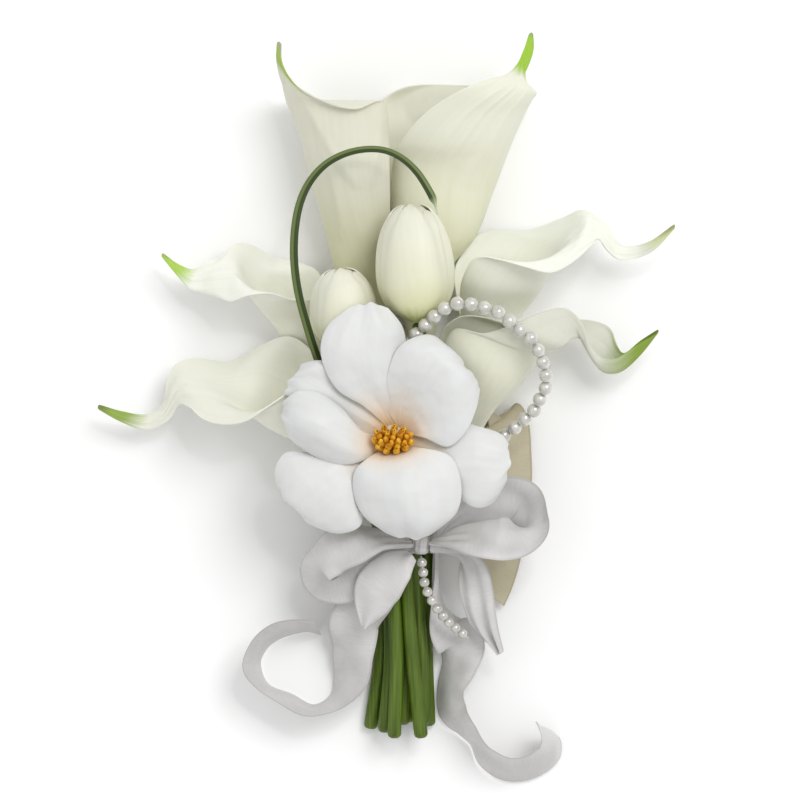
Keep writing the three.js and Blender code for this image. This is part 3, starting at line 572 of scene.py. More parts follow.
CALLAS = {
    "calla_1": {
        "depth": 0.9,
        "rib_side": (-1, -0.25, 0.35),
        "rings": [(3, 30, 11), (-3, 50, 14, 8), (-12, 70, 18, 12)],
        "lip": [
            ((1.2, 92, 15), (-29.5, 90, 26), (2.2, 89, 27), 0),
            ((1.5, 110, 14), (-34.6, 108, 31), (2.2, 104, 37), 0.5),
            ((0.8, 128, 12), (-39.2, 126, 34), (1.6, 119, 41), 1),
            ((-1, 144, 8), (-42.4, 142, 37), (0.6, 137, 41), 2),
            ((-12, 152, 3), (-44.6, 152, 38), (-2.6, 153.5, 43), 3),
            ((-30, 154, 1.5), (-46.3, 158, 40), (-15, 149.5, 52), 2),
            ((-45, 156, 14), (-47.6, 162, 40), (-30, 152.5, 52), 1),
            ((-51.8, 165, 32), (-49.2, 166, 40), (-43.5, 160, 46), 0.5),
            ((-54, 175, 35), (-52.8, 175.5, 37.6), (-51.5, 173, 38.5), 0),
            ((-53.6, 183, 36), (-53, 184, 36.8), (-52.2, 182.5, 36.5), 0),
        ],
    },
    "calla_2": {
        "depth": 0.82,
        "rib_side": (1, -0.25, 0.45),
        "rings": [(17.5, 30, 11), (17.7, 50, 13.5, 8.3), (17.8, 69, 17, 12)],
        "lip": [
            ((4, 92, 18), (43.5, 86, 28), (4.5, 90, 24), 0),
            ((3, 120, 16), (49, 113, 36), (4.5, 121, 31), 1),
            ((2, 140, 10), (58.6, 134, 41), (9, 134, 47), 2),
            ((0.5, 155, 6), (65.8, 148, 42), (21.5, 148.5, 58), 2),
            ((11, 162.5, 4), (70.8, 155, 42), (37, 158.5, 62), 2),
            ((42, 163.5, 2), (72.8, 159.5, 42), (50, 164, 58), 1),
            ((62, 162.5, 20), (68.5, 165, 42), (59, 166.5, 51), 0.5),
            ((70, 169, 38), (68.5, 171.5, 43), (65.5, 172, 45), 0),
            ((74, 180, 37), (72, 181, 39), (69.5, 180, 40), 0),
            ((73.6, 187.5, 37), (73, 188.5, 37.6), (72.2, 187.5, 37.8), 0),
        ],
    },
    "calla_3": {
        "depth": 0.9,
        "rib_side": (-0.85, -0.5, 0),
        "rings": [(-18, -2, 8.5), (-26, 16, 9.5, 8), (-35.5, 34, 12, 11.5)],
        "lip": [
            ((-29, 56, 9), (-56, 43, 16), (-31, 51, 25), 0),
            ((-34, 69, 9), (-63, 52, 22), (-38, 55, 37), 1),
            ((-43, 73.5, 6), (-67.5, 58, 25), (-46, 56, 44), 2),
            ((-56, 77, 5), (-71, 64, 26), (-56, 59, 47), 2),
            ((-67, 83, 8), (-75, 70, 26), (-67, 57.5, 45), 2),
            ((-76, 82.5, 14), (-80, 71, 25), (-76, 54, 37), 1),
            ((-83, 76, 18), (-86, 69, 24), (-84, 56.5, 29), 0),
            ((-90, 74.5, 18), (-91, 67, 22), (-91, 58.5, 23), 0),
            ((-96, 70.5, 18), (-97, 66, 20.5), (-97.5, 60.5, 20), 0),
            ((-104, 73, 17), (-104, 71, 19), (-104.5, 68, 18.5), 0),
            ((-111.5, 78.6, 20), (-112, 78, 20.4), (-112, 77.2, 20.2), 0),
        ],
    },
    "calla_4": {
        "depth": 0.78,
        "rib_side": (-0.66, -0.75, 0),
        "rings": [(-13, -25, 22), (-23, -16, 27, 8.5), (-32, -7, 32, 12.5)],
        "lip": [
            ((-28, 19, 30), (-47, -14, 32), (-31, 16, 42), 0),
            ((-38, 30, 28.5), (-57, -9.5, 33), (-40, 15, 49), 1),
            ((-48, 35.5, 25), (-66, -3, 33), (-50, 8.5, 52), 2),
            ((-61, 32.5, 15), (-74, 2, 32), (-60, 1.5, 52), 2),
            ((-76, 24, 10), (-82, 6, 31), (-68, -4.5, 49), 3),
            ((-92, 26, 11), (-91, 9, 28), (-80, -6, 44), 3),
            ((-103, 23, 14), (-99, 11, 25), (-90, -4, 37), 2),
            ((-109, 13, 15), (-104.5, 8, 22), (-97, 1, 30), 1),
            ((-110.5, 4.5, 15), (-107.5, 2.5, 20), (-102.5, 3, 24), 0),
            ((-114, 0.5, 14), (-111.5, -3, 18), (-108, -5, 20), 0),
            ((-120, -2.5, 13), (-120, -6, 16), (-120, -10, 16), 0),
            ((-133, -0.7, 16), (-133, -3, 18), (-133, -5.5, 17.5), 0),
            ((-143.6, 2.6, 20), (-144, 1.8, 20.4), (-144, 0.8, 20), 0),
        ],
    },
    "calla_5": {
        "depth": 0.8,
        "rib_side": (1, -0.3, 0),
        "rings": [(41, 3, 10), (44.5, 20, 11, 8), (49, 37, 13.5, 11)],
        "lip": [
            ((35.5, 58, 18), (72, 53, 20), (37.5, 56, 29), 0),
            ((35.8, 71, 17), (79, 63, 24), (39, 65, 39), 1),
            ((41, 80, 13), (82.5, 70, 27), (46, 76, 50), 2),
            ((49, 89, 7), (86, 76, 29), (57, 75, 56), 2),
            ((71, 90, 4), (90, 83, 30), (68, 71.5, 58), 2),
            ((88, 95.5, 8), (96, 90, 28), (81, 68, 53), 2),
            ((98, 99, 16), (101, 94.5, 27), (92, 73, 45), 2),
            ((106.5, 96, 21), (106, 91.5, 26), (101.5, 81.5, 36), 1),
            ((112, 91, 23), (109.5, 87.5, 26.5), (106.5, 85.5, 30), 0),
            ((115.5, 85.5, 22), (113, 82.5, 25), (111, 80, 27.5), 0),
            ((119.5, 82.2, 20), (118, 78.5, 23.5), (117, 75.2, 24.5), 0),
            ((126, 82.2, 22), (126, 79, 24.5), (126, 76, 24.5), 0),
            ((134, 85, 28), (134, 82.5, 29.5), (134.5, 80, 29), 0),
            ((144.8, 92.8, 33), (145, 92.2, 33.5), (145, 91.4, 33.2), 0),
        ],
    },
    "calla_6": {
        "depth": 0.58,
        "rib_side": (0.87, -0.45, 0),
        "rings": [(33, -27, 22), (38, -12, 27, 8.5), (42, 3, 34, 12.5)],
        "lip": [
            ((27, 28, 37), (65.5, 11.5, 39), (28, 28, 46), 0),
            ((29, 39, 39), (73.5, 21, 42), (35, 40, 51), 1),
            ((39, 46, 39.5), (79.5, 28.5, 45), (49, 38, 57), 2),
            ((57, 45, 37.5), (87, 32.8, 43), (63, 42, 59), 2),
            ((79, 44, 22), (92.5, 35.5, 37), (77, 49, 55), 2),
            ((95, 46.5, 15), (97.5, 36, 29), (90, 51.5, 43), 2),
            ((106, 44.5, 18), (101.5, 31.5, 25), (98.5, 44, 36), 1),
            ((113, 41, 20), (105.5, 25, 24), (102.5, 33, 32), 0),
            ((116, 33, 20), (111, 19.5, 22), (108, 26.5, 29), 0),
            ((119.5, 28.5, 20), (118.5, 20, 22), (114.5, 25.5, 27.5), 0),
            ((127.5, 34.5, 21), (128, 28, 23), (124.5, 31.5, 26), 0),
            ((136.6, 40.4, 25), (137, 39.6, 25.5), (136.6, 38.8, 25.8), 0),
        ],
    },
}
# The foot's and the body's colour, the green of the tip and of its very end, where along the leaf the green
# begins, over what share it blends in, and how much sooner it begins on the near margin. Besides the
# spathe's own cream, the foot and body colours paint light and shade: the darker bodies of calla_1 and
# calla_6 are painted shade, and the lighter feet of calla_3 to calla_5 are painted light.
CALLA_COLOURS_AND_PAINTED_SHADE = {
    "calla_1": (
        rgb(210, 209, 174), rgb(214, 213, 197), rgb(158, 182, 84), rgb(160, 164, 140),
        0.85, 0.03, 0.12,
    ),
    "calla_2": (
        rgb(222, 222, 190), rgb(223, 223, 207), rgb(150, 190, 56), rgb(142, 160, 96),
        0.79, 0.03, -0.03,
    ),
    "calla_3": (
        rgb(240, 240, 224), rgb(238, 239, 228), rgb(168, 202, 84), rgb(150, 180, 84),
        0.87, 0.04, -0.05,
    ),
    "calla_4": (
        rgb(244, 244, 228), rgb(226, 227, 214), rgb(140, 164, 70), rgb(112, 130, 62),
        0.89, 0.03, -0.03,
    ),
    "calla_5": (
        rgb(246, 246, 231), rgb(232, 234, 223), rgb(196, 202, 150), rgb(150, 158, 110),
        0.93, 0.04, -0.05,
    ),
    "calla_6": (
        rgb(226, 226, 206), rgb(206, 207, 194), rgb(130, 154, 56), rgb(104, 124, 44),
        0.82, 0.08, -0.08,
    ),
}
# Folds raised on the near side of a leaf: the line in X and Y, its height, and how far its left and its
# right side fall off
LEAF_FOLDS = {
    "calla_1": [
        ([(-41.7, 156.8), (-34, 141), (-24.3, 124), (-9.1, 106)], 2.8, 9, 1.5),
        ([(-34, 136.5), (-27, 115), (-20.7, 81)], 1.9, 6, 1.5),
        ([(-3.2, 154), (-1.6, 137), (-8.5, 108)], 1.6, 1.5, 4),
    ],
}
# Raised veins that run along a leaf: their shares across it
LEAF_VEINS = {"calla_2": (0.58, 0.66, 0.73, 0.81), "calla_5": (0.7, 0.84), "calla_3": (0.66, 0.8)}
VEIN_HEIGHT = 0.8
VEIN_WIDTH = 0.01
# Where along a fold, a vein or a margin its relief rises, is full, begins to fade and is gone
FOLD_SPAN = (0, 0.2, 0.8, 1)
VEIN_SPAN = (0.25, 0.42, 0.58, 0.74)
MARGIN_SPAN = (0.4, 0.6, 0.8, 0.9)
# Rows for each station and columns of a leaf's grid
LARGE_LEAF_GRID = (7, 66)
LEAF_GRID = (5, 46)
LARGE_LEAVES = ("calla_1", "calla_2")
# A leaf's share from the rib to a margin at which the margin begins to roll
ROLL_START = 0.7
PLEATS = 5
PLEAT_DEPTH = 0.45
# An arc of a smaller radius than this has lower pleats
PLEAT_RADIUS = 20
MARGIN_WAVE = 0.8
MARGIN_WAVES = 26
# How far a leaf's underside stays above the surface that the bouquet lies on
LEAF_CLEAR = 0.15
SPADIX_RADIUS = 2.6
SPADIX_LENGTH = 34
SPADIX_EDGE = 2.2
SPADIX_STEP = 1


def funnel_ring(centre, axis, rib_side, radius):
    """The far margin, the rib and the near margin of a closed ring, with a seam opposite the rib."""
    rib = (rib_side - axis * rib_side.dot(axis)).normalized()
    across = rib.cross(axis).normalized()
    if across.z > 0:
        across.negate()
    seam = centre - rib * radius
    return seam + across * SEAM / 2, centre + rib * radius, seam - across * SEAM / 2


def arc_through(far, rib, near, depth, curl):
    """The arc from far over rib to near. Its share runs from -1 to 1, and the margins roll outwards."""
    a, b, c = [Vector((p[0], p[1], p[2] / depth)) for p in (far, rib, near)]
    ab, cb = a - b, c - b
    normal = ab.cross(cb)
    to_centre = (cb * ab.length_squared - ab * cb.length_squared).cross(normal)
    to_centre /= 2 * normal.length_squared
    radius, centre = to_centre.length, b + to_centre
    out = -to_centre.normalized()
    around = normal.normalized().cross(out)

    def turn(p):
        angle = math.atan2((p - centre).dot(around), (p - centre).dot(out))
        return angle % (2 * math.pi)

    if turn(c) > turn(a):
        around = -around
    near_turn, far_turn = turn(c), 2 * math.pi - turn(a)

    def at(share):
        angle = share * (far_turn if share < 0 else near_turn)
        edge = max(0, (abs(share) - ROLL_START) / (1 - ROLL_START))
        pleat = PLEAT_DEPTH * math.sin(PLEATS * 2 * share + 0.8 * math.sin(4 * share))
        r = radius + pleat * min(1, radius / PLEAT_RADIUS) + curl * edge * edge
        p = centre + out * (r * math.cos(angle)) + around * (r * math.sin(angle))
        return Vector((p.x, p.y, p.z * depth))

    return at


def fold_lift(folds, p):
    """How far the folds lift a point of the leaf."""
    lift = 0
    for line, height, left, right in folds:
        k = min(range(len(line.points)), key=lambda i: (line.points[i].xy - p.xy).length_squared)
        along = line.direction(line.marks[k])
        gap = p.xy - line.points[k].xy
        distance = along.x * gap.y - along.y * gap.x
        fade = swell(line.marks[k] / line.length, *FOLD_SPAN)
        lift += height * fade * math.exp(-abs(distance) / (left if distance > 0 else right))
    return lift


def calla_surface(name, shape):
    """The leaf's skin: along it a smooth line runs through the same share of every arc."""
    rib_side = Vector(shape["rib_side"])
    folds = [(Line([(x, y, 0) for x, y in line], 8), *rest) for line, *rest in LEAF_FOLDS.get(name, [])]
    veins = LEAF_VEINS.get(name, ())
    centres = [Vector(ring[:3]) for ring in shape["rings"]]
    foot_radius = (STEM_RADIUS + PETAL_THICK / 2 + 1.5 * SEAT_GAP) / shape["depth"]
    stations = []
    for k, ring in enumerate(shape["rings"]):
        axis = centres[min(k + 1, len(centres) - 1)] - centres[max(k - 1, 0)]
        radius = ring[3] if k else foot_radius
        stations.append((*funnel_ring(centres[k], axis.normalized(), rib_side, radius), 0))
    stations += [(Vector(far), Vector(rib), Vector(near), curl) for far, rib, near, curl in shape["lip"]]
    arcs = [arc_through(far, rib, near, shape["depth"], curl) for far, rib, near, curl in stations]
    lines = {}

    def at(u, v):
        key = round(v, 5)
        if key not in lines:
            lines[key] = smooth_curve([arc(2 * v - 1) for arc in arcs])
        p = lines[key](u)
        margin = smooth_step(abs(2 * v - 1), 0.75, 1) * swell(u, *MARGIN_SPAN)
        lift = MARGIN_WAVE * margin * math.sin(MARGIN_WAVES * u + 4 * v)
        for vein in veins:
            ridge = math.exp(-(((v - vein) / VEIN_WIDTH) ** 2))
            lift += VEIN_HEIGHT * ridge * swell(u, *VEIN_SPAN)
        if v > 0.5:
            lift += fold_lift(folds, p) * smooth_step(v, 0.5, 0.6)
        p.z = max(p.z + lift, PETAL_THICK / 2 + LEAF_CLEAR)
        return p

    return at


def funnel_line(shape):
    """The line up the middle of the funnel."""
    far, rib, near = [Vector(p) for p in shape["lip"][0][:3]]
    mouth = (far + near) / 4 + rib / 2
    return Line([ring[:3] for ring in shape["rings"]] + [mouth])


def make_callas():
    """Six leaves, each with its spike on the line up its funnel."""
    spadix = spadix_finish()
    for name, shape in CALLAS.items():
        spans = len(shape["rings"]) + len(shape["lip"]) - 1
        rows, columns = LARGE_LEAF_GRID if name in LARGE_LEAVES else LEAF_GRID
        leaf = surface(f"{name}_leaf", rows * spans, columns, calla_surface(name, shape))
        thicken(leaf, PETAL_THICK)
        show(leaf, f"{name}_spathe", calla_finish(f"{name}_petal", *CALLA_COLOURS_AND_PAINTED_SHADE[name]))
        line = funnel_line(shape)
        start = STEM_INSERT + SEAT_GAP
        points = [line.point(start + SPADIX_LENGTH * k / 4) for k in range(5)]
        rings = rounded_rings(SPADIX_LENGTH, SPADIX_RADIUS, SPADIX_EDGE, SPADIX_STEP)
        spike = tube(f"{name}_spike", points, rings, ROUND_SIDES)
        show(spike, f"{name}_spadix", spadix)


# Tulips: six petals in two layers, closed round each other

# Shares of the bud's height and of its radius
BUD_PROFILE = [
    (0, 0.26), (0.1, 0.7), (0.22, 0.92), (0.36, 1), (0.58, 0.96), (0.76, 0.82), (0.88, 0.63), (0.95, 0.45),
    (0.99, 0.22), (1, 0.1),
]
# How far up the bud each petal reaches, outer and inner ones by turns
BUD_REACH = (1, 0.99, 0.98, 0.96, 0.985, 0.94)
# Half the angle that a petal spans, where it narrows, and how much its end is rounded
BUD_SPREAD = 1.08
BUD_SHOULDER = 0.9
BUD_ROUND = 0.1
# How far the inner layer lies inside the outer one, and a petal's edges sink in
BUD_LAYER = 1
BUD_TUCK = 1.1
INNER_TUCK = 0.44
BUD_RIPPLE = 0.25
BUD_LEAST_RADIUS = 0.4
BUD_PETAL_GRID = (32, 20)
# The closed inside of a bud: how deep it lies, its top, its grid, and the spot of the petals' colours that
# it takes
HEART_SKIN = 2.2
HEART_TOP = 0.96
HEART_RINGS = 24
HEART_SIDES = 36
HEART_UV = (0.8, 0.5)
TULIPS = {
    "tulip_1": {"foot": (16.6, 44.5, 49.5), "top": (12.8, 103, 57), "radius": 19.4, "turn": 1.65},
    "tulip_2": {"foot": (-18.7, 31.5, 44.5), "top": (-22.5, 71, 49), "radius": 16.8, "turn": 1.45},
}


def profile_at(profile, share):
    """The radius at a share of the height, on a smooth line through the profile's points."""
    k = max([0] + [i for i in range(len(profile) - 1) if share >= profile[i][0]])
    (low, start), (high, end) = profile[k], profile[k + 1]

    def slope(i):
        before, after = profile[max(i - 1, 0)], profile[min(i + 1, len(profile) - 1)]
        return (after[1] - before[1]) / (after[0] - before[0]) * (high - low)

    part = (share - low) / (high - low)
    leave, arrive = slope(k), slope(k + 1)
    bend = 3 * (end - start) - 2 * leave - arrive
    return start + leave * part + bend * part**2 + (2 * (start - end) + leave + arrive) * part**3


def bud_petal(tulip, number):
    """A petal that wraps a third of the bud. Its edges sink into the next petals, and its end is rounded."""
    base = Vector(tulip["foot"])
    axis, height, side, front = bud_axes(tulip)
    inner = number % 2 == 1
    middle = tulip["turn"] + 2 * math.pi * number / len(BUD_REACH)

    def at(u, v):
        w = 2 * v - 1
        spread = BUD_SPREAD * (math.sqrt(1 - ((u - 0.5) / 0.62) ** 4) if u < BUD_SHOULDER else 0.91)
        spread *= 1 - 0.2 * smooth_step(u, 0.8, 1)
        rise = BUD_REACH[number] * (u - BUD_ROUND * w * w * smooth_step(u, 0.45, 1))
        r = tulip["radius"] * profile_at(BUD_PROFILE, rise) - (BUD_LAYER if inner else 0)
        r -= (INNER_TUCK if inner else BUD_TUCK) * smooth_step(abs(w), 0.3, 1)
        r += BUD_RIPPLE * math.cos(2.5 * w + number) * smooth_step(u, 0.2, 0.6)
        r = max(r, BUD_LEAST_RADIUS)
        angle = middle + w * spread
        return base + axis * (height * rise) + side * (r * math.cos(angle)) + front * (r * math.sin(angle))

    return at


def bud_axes(tulip):
    """The bud's axis and height, and the two directions across it."""
    axis = Vector(tulip["top"]) - Vector(tulip["foot"])
    height = axis.length
    axis.normalize()
    side = (Vector((1, 0, 0)) - axis * axis.x).normalized()
    return axis, height, side, side.cross(axis)


def bud_heart(name, tulip):
    """The closed inside of the bud, which the petals lie on."""
    axis, height, side, front = bud_axes(tulip)
    profile = []
    for k in range(HEART_RINGS + 1):
        share = HEART_TOP * k / HEART_RINGS
        profile.append((tulip["radius"] * profile_at(BUD_PROFILE, share) - HEART_SKIN, height * share))
    heart = spun(f"{name}_heart", -SHIFT.xy, profile, HEART_SIDES)
    place = Matrix((side, -front, axis)).transposed().to_4x4()
    for corner in heart.data.uv_layers.active.data:
        corner.uv = HEART_UV
    heart.data.transform(Matrix.Translation((Vector(tulip["foot"]) + SHIFT) * MM) @ place)
    return heart


def make_tulips():
    """Six petals round a closed heart, joined into one bud."""
    finish = tulip_finish()
    for name, tulip in TULIPS.items():
        petals = []
        for number in range(len(BUD_REACH)):
            petal = surface(f"{name}_petal_{number}", *BUD_PETAL_GRID, bud_petal(tulip, number))
            thicken(petal, PETAL_THICK)
            petals.append(petal)
        petals.append(bud_heart(name, tulip))
        show(join(f"{name}_bud", petals), f"{name}_bloom", finish)


# The open flower: seven broad petals round a cup

FLOWER_MIDDLE = (4, -13.5)
CUP_BASE = 45.5
CUP_TOP = 52
# Stations from the throat to the tip. Each has a point on the left edge, on the crown and on the right
# edge, seen from the throat. The petals rise from the cup, swell, and turn down towards their ends.
FLOWER_PETALS = [
    [
        [(1.5, -9, 51), (3.5, -8, 51), (6, -9, 51)],
        [(-10, 1.5, 59), (-0.5, 2.5, 57), (7.5, 1, 55.5)],
        [(-24.5, 11, 65), (-7.5, 16, 65), (8.5, 16, 62)],
        [(-32, 29, 66), (-9.5, 30, 69), (10.5, 33, 63)],
        [(-28.5, 41.5, 65), (-8.5, 42.5, 69), (8.5, 42, 63)],
        [(-17.5, 50.5, 65.5), (-8.5, 53, 66), (1.5, 51, 63.5)],
    ],
    [
        [(-1, -13.5, 51), (0, -11.5, 51), (1.5, -9.5, 51)],
        [(-15.5, -11, 54.5), (-13, -2.5, 56), (-7, 5, 56)],
        [(-32.5, -3.5, 57.5), (-29.5, 8, 61.5), (-19, 19, 61)],
        [(-43.5, 5, 58), (-40, 14.5, 62.5), (-31.5, 24.5, 61)],
        [(-50, 8, 55), (-47, 15, 57), (-40.5, 22.5, 57)],
    ],
    [
        [(-0.5, -16.5, 51), (-1.5, -14.5, 51), (-1, -12.5, 51)],
        [(-10.5, -25, 60), (-11.5, -18.5, 62), (-10.5, -11, 59)],
        [(-22, -27, 61.5), (-23.5, -13, 70), (-22, 1.5, 64)],
        [(-36.5, -22, 60), (-38, -7, 70.5), (-34, 9.5, 63)],
        [(-47, -14, 58), (-47, -2.5, 65), (-43, 11, 60)],
        [(-50, -7, 55.5), (-51, -0.5, 57), (-48.5, 6, 56.5)],
    ],
    [
        [(0.5, -18, 51), (-0.5, -17, 51), (-1, -15.5, 51)],
        [(-7.5, -32, 55), (-14.5, -26, 58), (-19.5, -21, 55)],
        [(-11, -45, 56.5), (-25.5, -35, 62.5), (-36.5, -21, 57.5)],
        [(-12, -57.5, 55.5), (-35.5, -42, 63), (-49.5, -21, 57.5)],
        [(-23, -61.5, 52.5), (-44.5, -48.5, 58), (-54.5, -29.5, 55)],
        [(-35.5, -58, 50.5), (-46, -47.5, 52.5), (-52.5, -39.5, 51.5)],
    ],
    [
        [(9, -11.5, 51), (9.5, -14.5, 51), (9, -16.5, 51)],
        [(23, -9, 54.5), (23.5, -21, 57), (20.5, -29, 54)],
        [(35, -5.5, 57.5), (36, -26, 61.5), (32, -40, 55.5)],
        [(46.5, -8, 58.5), (48.5, -27.5, 62.5), (45, -48.5, 55.5)],
        [(57.5, -12, 56), (58, -28.5, 59), (53, -46.5, 53.5)],
        [(60.5, -16.5, 53.5), (62, -26, 54.5), (59, -37.5, 52.5)],
    ],
    [
        [(7, -18.5, 51), (4, -19.5, 51), (1, -18.5, 51)],
        [(19.5, -19, 62), (4.5, -25, 64), (-9.5, -24.5, 62)],
        [(33, -23, 63), (8.5, -35, 70), (-15, -30, 63)],
        [(38, -36, 62.5), (11, -46, 70.5), (-16, -40, 62)],
        [(36, -50.5, 60), (12, -57, 67), (-11, -52, 59.5)],
        [(24, -61.5, 56), (12.5, -64, 58), (0, -60.5, 56)],
    ],
    [
        [(6.5, -9, 51), (8, -10, 51), (9.5, -12, 51)],
        [(0, 3, 57.5), (12.5, -1, 57), (20, -14, 60)],
        [(1, 17.5, 65.5), (20, 11, 66.5), (31, -18.5, 63)],
        [(7.5, 32, 67), (29, 21, 71), (39.5, -12, 64)],
        [(22.5, 37.5, 64.5), (38, 21, 68), (45.5, 1, 62)],
        [(33.5, 29, 60), (42, 19.5, 61), (47.5, 11, 59)],
    ],
]
CUP_PROFILE = [(4.5, CUP_BASE), (7.2, 47.6), (8.6, 50), (7.5, CUP_TOP), (4.2, 51.6)]
CUP_SIDES = 48
FLOWER_PETAL_GRID = (36, 30)
RIM_ROLL = 0.8
FOLD_DEPTH = 0.5
OUTLINE_WAVER = 0.55
# Rings of stamens: how many, how far they lean out, their height and their thickness
STAMEN_RINGS = [(11, 9.6, 12.5, 1.3), (9, 7, 14, 1.25), (6, 3.8, 15, 1.2)]
# The route of a stamen: shares of its lean and of its height
STAMEN_ROUTE = ((0.23, 0.06), (0.66, 0.4), (0.97, 0.8), (0.93, 1))
STAMEN_OVAL = 0.66
STAMEN_FOOT = (4, -17.5)
STAMEN_SLOPE = 0.32
STAMEN_SIDES = 12
PISTIL_HEIGHT = 14
PISTIL_RADIUS = 1.5
PISTIL_SIDES = 14


def flower_petal(stations, number):
    """The sheet through the stations, with folds from the throat and an edge that rolls under."""
    left, crown, right = [smooth_curve([station[k] for station in stations]) for k in range(3)]
    reach = (crown(1) - crown(0)).normalized()

    def at(u, v):
        w = 2 * v - 1
        p = crown(u) * (1 - w * w) + left(u) * ((w * w - w) / 2) + right(u) * ((w * w + w) / 2)
        rim = max(smooth_step(abs(w), 0.82, 1), smooth_step(u, 0.9, 1)) * smooth_step(u, 0.1, 0.4)
        fold = FOLD_DEPTH * math.sin(6 * w + 1.7 * number) * math.sin(math.pi * min(1, u / 0.75)) ** 2
        dent = 0.8 * math.sin(2.6 * w + 2.3 * number + 5 * u)
        dent += 0.6 * math.sin(5.3 * w - 1.9 * number + 8 * u)
        p.z += fold + dent * smooth_step(u, 0.25, 0.7) - RIM_ROLL * rim
        waver = math.sin(6.5 * w + 2 * number) + 0.6 * math.sin(11 * w - 3 * number)
        p += reach * (OUTLINE_WAVER * waver * smooth_step(u, 0.6, 1))
        return p

    return at


def make_stamen(name, angle, lean, height, thick):
    """One stamen: a thin stalk that swells into a ragged head and leans out from the middle."""
    x, y = STAMEN_FOOT
    foot = CUP_TOP + SEAT_GAP
    out, up = math.cos(angle), STAMEN_OVAL * math.sin(angle)
    route = []
    for reach, rise in STAMEN_ROUTE:
        rise *= height
        route.append((x + lean * reach * out, y + lean * reach * up + STAMEN_SLOPE * rise, foot + rise))
    length = Line(route).length
    rings = []
    for distance, radius in rounded_rings(length, thick, 0.8, 0.7):
        head = smooth_step(distance / length, 0.3, 0.6) - 1.1 * smooth_step(distance / length, 0.7, 1)
        ragged = 1 + 0.14 * head * math.sin(1.9 * distance + 5 * angle)
        rings.append((distance, radius * (0.8 + 0.5 * head) * ragged))
    return tube(name, route, rings, STAMEN_SIDES)


def make_open_flower():
    """Seven petals on a cup, and the rings of stamens round a pistil."""
    petals = [spun("flower_cup", FLOWER_MIDDLE, CUP_PROFILE, CUP_SIDES)]
    for number, stations in enumerate(FLOWER_PETALS):
        petal = surface(f"flower_petal_{number}", *FLOWER_PETAL_GRID, flower_petal(stations, number))
        thicken(petal, PETAL_THICK)
        petals.append(petal)
    show(join("open_flower_bloom", petals[::-1]), "open_flower_petals", flower_finish())
    x, y = STAMEN_FOOT
    rises = (0, PISTIL_HEIGHT / 2, PISTIL_HEIGHT)
    pistil = [(x, y + STAMEN_SLOPE * rise, CUP_TOP + SEAT_GAP + rise) for rise in rises]
    parts = [tube("pistil", pistil, rounded_rings(PISTIL_HEIGHT, PISTIL_RADIUS, 1.2, 1), PISTIL_SIDES)]
    for ring, (count, lean, height, thick) in enumerate(STAMEN_RINGS):
        for k in range(count):
            angle = 2 * math.pi * k / count + 0.35 + 0.5 * ring
            uneven = height + 0.8 * math.sin(5 * k + ring)
            parts.append(make_stamen(f"stamen_{ring}_{k}", angle, lean, uneven, thick))
    show(join("open_flower_centre", parts), "open_flower_stamens", stamen_finish())


# Stems, from the cut foot up to the flower

STEM_EDGE = 2.4
STEM_STEP = 4
STEMS = {
    "calla_1": [(2.5, -160, 3.3), (5.6, -120, 4.6), (5.7, -75, 6), (5.5, -35, 7), (4.5, 0, 8.5)],
    "calla_2": [(12, -157, 3.3), (13.1, -120, 4.6), (13.1, -75, 6), (13.3, -35, 7), (15.5, 0, 8.5)],
    "calla_3": [(-7.5, -160.5, 3.3), (-1.9, -120, 4.6), (-1.8, -75, 6), (-5, -45, 7), (-12, -20, 8)],
    "calla_4": [(-0.4, -162, 10.9), (3, -120, 12.2), (-0.2, -75, 13.5), (-4.5, -52, 16)],
    "calla_5": [(22, -159, 3.3), (20.6, -120, 4.6), (20.5, -75, 6), (24, -45, 7), (33, -20, 8.5)],
    "calla_6": [(19.5, -158, 10.9), (18.2, -120, 12.2), (14.8, -75, 13.5), (19, -55, 16)],
    "tulip_1": [(18.2, -164.5, 18.5), (13.4, -120, 19.8), (10.6, -75, 21), (12, -35, 28), (16, 10, 41)],
    "tulip_2": [(9, -158, 10.9), (10.6, -120, 12.2), (7.3, -75, 13.5), (1.4, -38, 20.5), (-9, 0, 33)],
    "open_flower": [(4.6, -164.5, 18.5), (5.8, -120, 19.8), (3.1, -75, 21), (3.6, -45, 26), (4.6, -24, 32)],
}


def stem_end(name):
    """The last two points run straight into the flower, along its axis."""
    top, direction = Vector((*FLOWER_MIDDLE, CUP_BASE - SEAT_GAP)), Vector((0, 0, 1))
    if name in CALLAS:
        line = funnel_line(CALLAS[name])
        top, direction = line.point(STEM_INSERT), (line.point(2) - line.point(0)).normalized()
    if name in TULIPS:
        foot = Vector(TULIPS[name]["foot"])
        direction = (Vector(TULIPS[name]["top"]) - foot).normalized()
        top = foot - direction * (SEAT_GAP + PETAL_THICK)
    return [top - direction * STEM_LEAD, top]


def make_stems():
    """Nine round stems, from the cut foot up to the flower."""
    finish = stem_finish()
    for name, points in STEMS.items():
        route = points + stem_end(name)
        rings = rounded_rings(Line(route).length, STEM_RADIUS, STEM_EDGE, STEM_STEP)
        show(tube(f"{name}_stalk", route, rings, ROUND_SIDES), f"{name}_stem", finish)


# The grass blade: a folded strip bent in an arch

BLADE_PATH = [
    (-1, -60, 27), (-9, -35, 34), (-20, -8, 42), (-27, 8, 47), (-33, 24, 51), (-38.5, 41, 56),
    (-43, 58.5, 62), (-45, 75, 66), (-44.4, 91, 68), (-41.6, 104, 68), (-36.6, 114, 68), (-29, 122, 68.5),
    (-19, 127.2, 69), (-8.5, 129.2, 70), (0.5, 128.4, 71), (8.5, 124.6, 72), (15.5, 118.2, 73),
    (21, 110, 74), (24.5, 103, 74), (26.2, 96.5, 73),
]
BLADE_GRID = (160, 8)
BLADE_THICK = 0.7
BLADE_HALF_WIDTH = 1.95
BLADE_FOLD = 0.8
BLADE_CREASE = 0.12
# Where along the blade it twists, over what share, how far it leans there, and how much narrower it is
BLADE_APEX = 0.82
BLADE_TWIST = 0.12
BLADE_LEAN = 0.5
BLADE_NARROWS = 0.4
